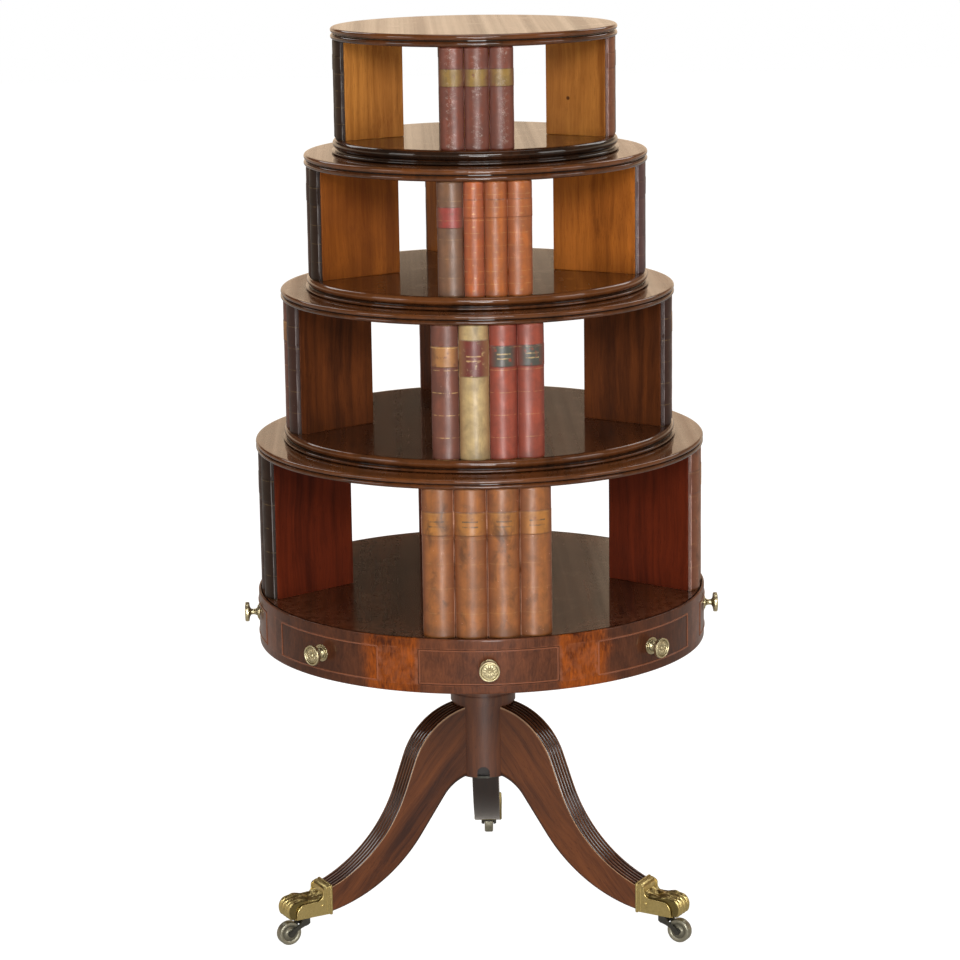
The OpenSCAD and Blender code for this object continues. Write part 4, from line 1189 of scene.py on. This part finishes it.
class BOOKCASE_OT_knobs(bpy.types.Operator):
    """Brass knobs of the drawers and fixed fronts"""
    bl_idname = "bookcase.knobs"
    bl_label = "Knobs"

    def execute(self, context):
        sizes = drum_sizes()
        middle = (sizes["low"] + sizes["high"]) / 2
        outwards = Matrix.Rotation(math.radians(90), 4, "Y")
        spots = [(f"knob_{face}", angle, f"drawer_{face}", f"{face}_drawer_knob")
                 for face, angle in FACES.items()]
        spots += [(f"sham_knob_{k + 1}", angle, "drum", "sham_knobs") for k, angle in enumerate(SHAM_ANGLES)]
        for name, angle, body, stands_for in spots:
            bm = bmesh.new()
            knob(bm, shape().petals)
            make_piece(name, bm, material("knob brass"), body, "brass", [stands_for],
                       turned(angle, sizes["r"], middle) @ outwards, sharp=45)
        return {"FINISHED"}


# Pedestal

class BOOKCASE_OT_pedestal(bpy.types.Operator):
    """Column, spindle and bearings"""
    bl_idname = "bookcase.pedestal"
    bl_label = "Pedestal"

    def execute(self, context):
        dress_node("column", material("column wood"))
        for name in ("brace_plate", "bearing_plate"):
            dress_node(name, material("iron"))
        for name in ("spindle", "brace_screws"):
            dress_node(name, material("steel"))
        for tier in (1, 2, 3):
            dress_node(f"tier{tier}_bush", material("brass"))
        return {"FINISHED"}


def leg_angle(side):
    """Direction of a leg in degrees, from its castor's swivel joint."""
    for joint in frame["joints"]:
        if joint["name"] == f"castor_{side}_swivel":
            return math.degrees(math.atan2(joint["pos_m"][1], joint["pos_m"][0]))
    raise RuntimeError(f"the frame has no swivel for {side}")


def leg_edge(sizes, count):
    """Evenly spaced (point, slope) along one edge of a leg: a bend, a straight and a sweep to the foot."""
    def heading(slope):
        return Vector((math.cos(math.radians(slope)), -math.sin(math.radians(slope))))

    def normal(slope):
        return Vector((math.sin(math.radians(slope)), math.cos(math.radians(slope))))

    hidden, past_end, steps = 12, 4, 60
    lead = -math.degrees(math.asin(hidden / sizes["bend"]))
    bend_c = Vector((COLUMN_R, sizes["z"])) - sizes["bend"] * normal(sizes["slope"])
    start, turn = sizes["slope"] + lead, sizes["straight_slope"]
    points = []
    for k in range(steps + 1):
        slope = start + (turn - start) * k / steps
        points.append((bend_c + sizes["bend"] * normal(slope), slope))
    corner = points[-1][0] + sizes["straight"] * heading(turn)
    sweep_c = corner + sizes["sweep"] * normal(turn)
    last = math.degrees(math.asin((sweep_c.x - LEG_END - past_end) / sizes["sweep"]))
    for k in range(steps + 1):
        slope = turn + (last - turn) * k / steps
        points.append((sweep_c - sizes["sweep"] * normal(slope), slope))
    spots, slopes = zip(*points)
    return [(spots[at].lerp(spots[at + 1], share), slopes[at] + (slopes[at + 1] - slopes[at]) * share)
            for at, share in even_steps(spots, count)]


def leg(bm):
    """A sabre leg with round reeds along its top, in the plane y = 0 and outwards along X. Returns its rows."""
    count = 110
    top_edge = leg_edge(KNEE, count)
    low_edge = leg_edge(ARCH, count)
    reeds = shape().reed_count
    depth = shape().reed_depth / MM
    across = reeds * REED_POINTS
    arris, shoulder_in = 1.2, 0.5
    falls = (0.03, 0.07, 0.2, 0.4, 0.6, 0.8, 0.93, 0.985)
    rings = []
    for k in range(count + 1):
        share = k / count
        half = (shape().leg_thick + (shape().foot_thick - shape().leg_thick) * share) / MM / 2
        (top, slope), (low, _) = top_edge[k], low_edge[k]
        up = Vector((math.sin(math.radians(slope)), math.cos(math.radians(slope))))
        ring = []
        for n in range(across + 1):
            y = (half - arris) * (2 * n / across - 1)
            local = (n % REED_POINTS) / REED_POINTS * 2 - 1
            sunk = -depth * (1 - math.sqrt(max(0.0, 1 - local * local))) if n % REED_POINTS else -depth
            spot = top + up * sunk
            ring.append((spot.x, y, spot.y))
        shoulder = top - up * depth * 0.55
        ring.append((shoulder.x, half - shoulder_in, shoulder.y))
        for fall in falls:
            spot = shoulder.lerp(low, fall)
            ring.append((spot.x, half, spot.y))
        for y in (half - arris, 0, arris - half):
            ring.append((low.x, y, low.y))
        for fall in reversed(falls):
            spot = shoulder.lerp(low, fall)
            ring.append((spot.x, -half, spot.y))
        ring.append((shoulder.x, shoulder_in - half, shoulder.y))
        rings.append([(x * MM, y * MM, z * MM) for x, y, z in ring])
    return skin_rings(bm, rings)


class BOOKCASE_OT_legs(bpy.types.Operator):
    """Reeded sabre legs"""
    bl_idname = "bookcase.legs"
    bl_label = "Legs"

    def execute(self, context):
        # Painted shade in the grooves between reeds and on the leg's underside; the middles of the reeds are
        # darkened a little.
        groove_shade = {0: 0.4, 1: 0.36, 2: 0.22, 3: 0.14}
        ridge_darkening = 0.1
        underside_shade = 0.3
        reed_points = shape().reed_count * REED_POINTS
        under = reed_points + 9
        for side in SIDES:
            bm = bmesh.new()
            form = form_layer(bm)
            rows = leg(bm)
            paint_form(bm)
            for row in rows:
                for k, vert in enumerate(row[:reed_points + 1]):
                    from_groove = min(k % REED_POINTS, REED_POINTS - k % REED_POINTS)
                    vert[form].y = groove_shade.get(from_groove, ridge_darkening)
                for vert in row[under:under + 5]:
                    vert[form].y = underside_shade
                for vert in (row[reed_points + 1], row[-1]):
                    vert[form].z = 1.0
                    vert[form].y = 0.0
            make_piece(f"sabre_leg_{side}", bm, material("leg wood"), "pedestal", "mahogany", [f"leg_{side}"],
                       turned(leg_angle(side)), sharp=42, painted=True)
        return {"FINISHED"}


# Paws and castors

def paw_line():
    """Outline of a paw from the collar over the knuckles to the toes, as (x, z) in millimetres."""
    points = [(CAP_END, 72), (277, 70), (282, 67.2), (288, 65.6), (294, 66.6), (300, 68.4)]
    points += arc(308, 55.4, 13.4, 100, 70, 3) + arc(314, 53.2, 15, 62, -6, 8)
    return points + [(328.2, 47), (326.6, 43.4), (323.6, 41.2), (320, PAW_FLOOR)]


def paw_relief(share, v, toes):
    """Height of the chasing on a paw in millimetres: a leaf near the collar, toes at the front."""
    toe = abs(math.sin((v + 1) * toes * math.pi / 2))
    toe_rise = 3.6 * toe ** 0.6 - 2.8
    leaf = 1.3 * math.cos(v * math.pi * 1.5) * math.sin(share * 24) + 0.9 * math.cos(v * 11 + share * 9)
    front = clamp((share - 0.40) / 0.12)
    start = clamp(share / 0.06)
    edge = clamp((1 - abs(v)) / 0.10)
    return (toe_rise * front + leaf * (1 - front)) * start * edge


def rod(bm, line, r, y):
    """A round rod along (x, z) points in a plane of constant y, in millimetres."""
    count, end_share = 10, 0.6
    rings = []
    for k, spot in enumerate(line):
        along = (line[min(len(line) - 1, k + 1)] - line[max(0, k - 1)]).normalized()
        over = Vector((-along.y, along.x))
        wide = r * (end_share if k in (0, len(line) - 1) else 1.0)
        ring = []
        for n in range(count):
            angle = 2 * math.pi * n / count
            lift = over * math.cos(angle) * wide
            ring.append(((spot.x + lift.x) * MM, (y + math.sin(angle) * wide) * MM, (spot.y + lift.y) * MM))
        rings.append(ring)
    skin_rings(bm, rings)


def paw(bm, toes):
    """A cast paw with a chased top, cut toes and flat plates on its flanks, outwards along X.

    Returns the vertices of the chased top with their heights.
    """
    count, wide, floor_count, half = 72, 40, 5, 17.6
    flank, flank_drop = 0.84, 2.2
    spots = [Vector(point) for point in paw_line()]
    line = [spots[at].lerp(spots[at + 1], share) for at, share in even_steps(spots, count)]
    spread = [2 * n / wide - 1 for n in range(wide + 1)]
    rows = []
    heights = []
    for k, spot in enumerate(line):
        along = (line[min(count, k + 1)] - line[max(0, k - 1)]).normalized()
        out = Vector((-along.y, along.x))
        row = []
        for v in spread:
            drop = flank_drop * max(0.0, abs(v) - flank) / (1 - flank)
            relief = paw_relief(k / count, v, toes) - drop
            heights.append(relief)
            row.append(((spot.x + out.x * relief) * MM, v * half * MM, (spot.y + out.y * relief) * MM))
        rows.append(row)
    verts = grid(bm, rows)
    floor_rows = []
    for k in range(floor_count + 1):
        x = line[-1].x + (CAP_END - line[-1].x) * k / floor_count
        floor_rows.append([(x * MM, v * half * MM, PAW_FLOOR * MM) for v in spread])
    base = grid(bm, floor_rows)
    for side in (0, -1):
        rim = [row[side] for row in verts] + [row[side] for row in base]
        bm.faces.new(rim if side else list(reversed(rim)))
    plate_low = PAW_FLOOR + 0.2
    edge = [(274, 78)] + arc(284.6, 72.6, 10.6, 180, 262, 8) + arc(302, 47.6, 14, 90, 0, 14)
    edge = [Vector(point) for point in edge + [(316, plate_low)]]
    plate = edge + [(CAP_START, plate_low), (CAP_START, 80.6), (CAP_END, 80.2)]
    layers = ((16.8, 0.0), (19.8, 0.0), (20.2, 0.4), (20.2, 1.4), (20.2, 2.4))
    for side in (1, -1):
        slab(bm, plate, Vector((290, 51)), layers, side)
        rod(bm, edge, 1.1, side * 19.9)
        rod(bm, [Vector((268.8, z)) for z in (41, 50, 60, 70, 80)], 0.9, side * 20.2)
    return list(zip((vert for row in verts for vert in row), heights))


def collar(bm):
    """The socket round a leg's end: a raised rim at the leg and a rolled top."""
    z0, z1, half = 40.3, 82.6, 20.0
    corner = 1.2
    roll_start, roll, roll_drop = 265, 9, 7.0
    steps = [(260.6, 0.4), (261.1, 1.1), (261.8, 1.3), (263.2, 1.3), (263.9, 1.0), (264.3, 0.2)]
    steps += [(x, 0) for x in (265, 267, 269, 270.6, 272, 273, 273.7)]
    rings = []
    for x, grow in steps:
        ring = []
        share = max(0.0, (x - roll_start) / roll)
        drop = roll_drop * (1 - math.sqrt(1 - share * share))
        for cy, cz, start in ((half - corner, z1 - corner - drop, 0), (-half + corner, z1 - corner - drop, 90),
                              (-half + corner, z0 + corner, 180), (half - corner, z0 + corner, 270)):
            for y, z in arc(cy, cz, corner + grow, start, start + 90, 4):
                ring.append((x * MM, y * MM, z * MM))
        rings.append(ring)
    skin_rings(bm, rings)


def boss(bm, x, y, z, r, side):
    """A small domed screw head on a paw's side."""
    count = 20
    rings = []
    for high, wide in ((-1.0, 1.0), (0.5, 1.0), (1.0, 0.86), (1.3, 0.5)):
        ring = []
        for k in range(count):
            angle = 2 * math.pi * k / count
            ring.append(((x + r * wide * math.cos(angle)) * MM, side * (y + high) * MM,
                         (z + r * wide * math.sin(angle)) * MM))
        rings.append(ring)
    skin_rings(bm, rings)


class BOOKCASE_OT_paws(bpy.types.Operator):
    """Brass paw caps on the legs"""
    bl_idname = "bookcase.paws"
    bl_label = "Paw caps"

    def execute(self, context):
        back_paw_shade, groove_dirt = 0.2, 0.3
        for side in SIDES:
            bm = bmesh.new()
            form = form_layer(bm)
            chased = paw(bm, shape().toes)
            collar(bm)
            for flank in (1, -1):
                boss(bm, 276, 20.0, 54.5, 2.8, flank)
            paint_form(bm)
            # Painted shade: the back paw is darkened all over.
            if side == "back":
                for vert in bm.verts:
                    vert[form].y = max(vert[form].y, back_paw_shade)
            for vert, height in chased:
                vert[form].y = max(vert[form].y, min(groove_dirt, -0.13 * (height + 0.2)), 0.0)
            make_piece(f"brass_paw_{side}", bm, material("brass"), "pedestal", "brass",
                       [f"paw_cap_{side}", "paw_screws"], turned(leg_angle(side)), sharp=46, painted=True)
        return {"FINISHED"}


def castor_wheel(bm):
    """A brass wheel about Z with a rounded tread and a turned ring on both sides, in millimetres."""
    half, tread = 6.5, 2.4
    sunk = half - 1.4
    upper = [(2.6, half), (5.4, half), (6.0, half - 0.7), (7.0, sunk), (10.8, sunk), (11.4, half - 0.8),
             (12.2, half - 0.5), (13.2, half - 0.2)]
    upper += arc(WHEEL_R - tread, half - tread, tread, 80, 0, 6)
    lower = [(r, -z) for r, z in reversed(upper)]
    lathe(bm, upper + lower + [upper[0]], 72, unit=MM)


def fork(bm):
    """An iron fork in millimetres: two curved horns on a round post under a plate, with the swivel at x = 0."""
    trail, top_z = AXLE_X - SWIVEL_X, 39.6
    near, far, round_in, round_off = 7.1, 10.1, 0.5, 0.6
    line = [(-5.5, top_z), (5.5, top_z), (6.2, 35), (9.5, 31), (16.5, 25.6), (trail + 3.4, 20.6)]
    line += arc(trail, WHEEL_R, 4.8, 40, -150, 12)
    line += [(14.5, 20.4), (8.5, 23.4), (3, 25.4), (-2, 26.4), (-5.5, 29)]
    layers = ((near, round_off), (near + round_in, 0.0), (far - round_in, 0.0), (far, round_off))
    for side in (1, -1):
        slab(bm, line, Vector((6, 29)), layers, side)
    post = [(0, 26), (6.4, 26), (7.4, 27), (7.4, 36.6), (11.2, 36.6), (12, 37.2), (12, 39), (11.2, 39.7),
            (4, 39.7), (4, 56), (0, 56)]
    lathe(bm, post, 48, unit=MM)


class BOOKCASE_OT_castors(bpy.types.Operator):
    """Castors under the paws"""
    bl_idname = "bookcase.castors"
    bl_label = "Castors"

    def execute(self, context):
        flat = Matrix.Rotation(math.radians(90), 4, "X")
        for side in SIDES:
            angle = leg_angle(side)
            bm = bmesh.new()
            fork(bm)
            make_piece(f"castor_horns_{side}", bm, material("iron"), f"castor_{side}", "iron",
                       [f"castor_fork_{side}"], turned(angle, SWIVEL_X * MM))
            bm = bmesh.new()
            castor_wheel(bm)
            make_piece(f"brass_wheel_{side}", bm, material("wheel brass"), f"wheel_{side}", "brass",
                       [f"castor_wheel_{side}"], turned(angle, AXLE_X * MM, WHEEL_R * MM) @ flat)
            dress_node(f"castor_axle_{side}", material("iron"))
        return {"FINISHED"}


# Stage

class BOOKCASE_OT_stage(bpy.types.Operator):
    """Pale floor, soft lamps and the camera"""
    bl_idname = "bookcase.stage"
    bl_label = "Stage"

    def execute(self, context):
        self.floor()
        self.world(context)
        self.lamps()
        self.camera(context)
        context.scene.view_settings.view_transform = "Standard"
        return {"FINISHED"}

    def floor(self):
        bm = bmesh.new()
        bmesh.ops.create_grid(bm, x_segments=1, y_segments=1, size=14)
        mesh = bpy.data.meshes.new("floor")
        bm.to_mesh(mesh)
        bm.free()
        plane = bpy.data.objects.new("floor", mesh)
        bpy.context.scene.collection.objects.link(plane)
        surface, nodes, _ = new_material("floor")
        nodes.tree.nodes.clear()
        path = nodes.add("LightPath").outputs
        matt = nodes.add("BsdfDiffuse", {"Color": (0.30, 0.29, 0.28, 1)})
        white = nodes.add("Emission", {"Color": (1, 1, 1, 1), "Strength": 0.92})
        warm = nodes.add("Emission", {"Color": (1.0, 0.88, 0.76, 1), "Strength": 0.25})
        pale = nodes.add("AddShader", {0: matt.outputs[0], 1: white.outputs[0]})
        gloss = nodes.add("AddShader", {0: matt.outputs[0], 1: warm.outputs[0]})
        dull = nodes.either(path["Is Glossy Ray"], matt, gloss)
        blend = nodes.either(path["Is Camera Ray"], dull, pale)
        nodes.add("OutputMaterial", {"Surface": blend.outputs[0]})
        mesh.materials.append(surface)

    def world(self, context):
        world = bpy.data.worlds.new("studio")
        context.scene.world = world
        world.use_nodes = True
        nodes = Nodes(world.node_tree)
        nodes.tree.nodes.clear()
        path = nodes.add("LightPath").outputs
        x, y, z = nodes.add("SeparateXYZ", {0: nodes.add("TexCoord").outputs["Generated"]}).outputs
        horizon = (1.0, 0.75, 0.525, 1)
        dim_side, bright_side = (0.065, 0.040, 0.026, 1), (0.25, 0.175, 0.120, 1)
        middle = 0.02
        off_middle = nodes.math("SUBTRACT", x, middle)
        across = nodes.times(off_middle, nodes.math("MAXIMUM", y, 0.0))
        above = nodes.mix(nodes.remap(across, -0.02, 0.035), dim_side, bright_side)
        beside = nodes.remap(nodes.math("ABSOLUTE", off_middle), 0.042, 0.056)
        screen = nodes.times(beside, nodes.remap(y, 0.90, 0.96))
        screen = nodes.times(screen, nodes.remap(z, 0.23, 0.30, 1.0, 0.0))
        above = nodes.mix(screen, above, horizon)
        room = nodes.mix(nodes.remap(z, 0.115, 0.16), horizon, above)
        glossy = nodes.add("Background", {"Color": room, "Strength": 1.0})
        soft = nodes.add("Background", {"Color": (1, 1, 1, 1), "Strength": 0.40})
        white = nodes.add("Background", {"Color": (1, 1, 1, 1), "Strength": 1.0})
        unseen = nodes.either(path["Is Glossy Ray"], soft, glossy)
        blend = nodes.either(path["Is Camera Ray"], unseen, white)
        nodes.add("OutputWorld", {"Surface": blend.outputs[0]})

    def lamps(self):
        target = Vector((0, 0, 0.7))
        lamps = (
            ("front lamp", (0.15, -3.7, 2.3), 2.2, 0.8, 72),
            ("low lamp", (0.05, -3.6, 0.65), 0.9, 0.9, 30),
            ("floor lamp", (0.12, -2.6, 0.2), 0.4, 0.4, 8),
            ("right lamp", (3.0, -1.6, 2.0), 1.4, 1.4, 20),
            ("left lamp", (-3.0, -1.6, 1.8), 1.4, 1.4, 18),
            ("top lamp", (0.2, 0.2, 3.6), 1.6, 1.6, 20),
            ("back left lamp", (-1.9, 2.3, 3.2), 1.4, 1.4, 17),
            ("back right lamp", (2.1, 2.3, 3.2), 1.4, 1.4, 17),
        )
        for name, spot, width, tall, power in lamps:
            data = bpy.data.lights.new(name, "AREA")
            data.shape = "RECTANGLE"
            data.size = width
            data.size_y = tall
            data.energy = power
            lamp = bpy.data.objects.new(name, data)
            bpy.context.scene.collection.objects.link(lamp)
            lamp.location = spot
            lamp.rotation_euler = (target - Vector(spot)).to_track_quat("-Z", "Y").to_euler()

    def camera(self, context):
        data = bpy.data.cameras.new("camera")
        data.sensor_width = 36.0
        data.lens = 114.0
        data.clip_end = 60
        camera = bpy.data.objects.new("camera", data)
        context.scene.collection.objects.link(camera)
        context.scene.camera = camera
        spot = Vector((-0.1148, -4.2434, 1.581))
        heading, pitch, roll = math.radians(1.55), math.radians(12.51), math.radians(0.81)
        look = Matrix.Rotation(-heading, 4, "Z") @ Matrix.Rotation(math.radians(90) - pitch, 4, "X")
        camera.matrix_world = Matrix.Translation(spot) @ look @ Matrix.Rotation(-roll, 4, "Z")


class BOOKCASE_PT_panel(bpy.types.Panel):
    """Bookcase tools"""
    bl_idname = "BOOKCASE_PT_panel"
    bl_label = "Revolving bookcase"
    bl_space_type = "VIEW_3D"
    bl_region_type = "UI"
    bl_category = "Bookcase"

    def draw(self, context):
        for tool in OPERATORS:
            self.layout.operator(tool.bl_idname)
        for name in BookcaseShape.__annotations__:
            self.layout.prop(context.scene.bookcase_shape, name)
        for name in BookcaseFinish.__annotations__:
            self.layout.prop(context.scene.bookcase_finish, name)


OPERATORS = (
    BOOKCASE_OT_stage, BOOKCASE_OT_boards, BOOKCASE_OT_pillars, BOOKCASE_OT_books, BOOKCASE_OT_drum,
    BOOKCASE_OT_drawers, BOOKCASE_OT_knobs, BOOKCASE_OT_pedestal, BOOKCASE_OT_legs, BOOKCASE_OT_paws,
    BOOKCASE_OT_castors,
)
CLASSES = (BookcaseShape, BookcaseFinish, *OPERATORS, BOOKCASE_PT_panel)


def register():
    for made in CLASSES:
        bpy.utils.register_class(made)
    bpy.types.Scene.bookcase_shape = PointerProperty(type=BookcaseShape)
    bpy.types.Scene.bookcase_finish = PointerProperty(type=BookcaseFinish)


def unregister():
    del bpy.types.Scene.bookcase_shape
    del bpy.types.Scene.bookcase_finish
    for made in reversed(CLASSES):
        bpy.utils.unregister_class(made)


def main():
    register()
    for build in (build_form_group, build_grain_group, build_flame_group, build_leather_group,
                  build_tooling_group, build_patina_group):
        build()
    for tool in OPERATORS:
        group, name = tool.bl_idname.split(".")
        getattr(getattr(bpy.ops, group), name)()
    bpy.context.view_layer.update()


if __name__ == "__main__":
    main()
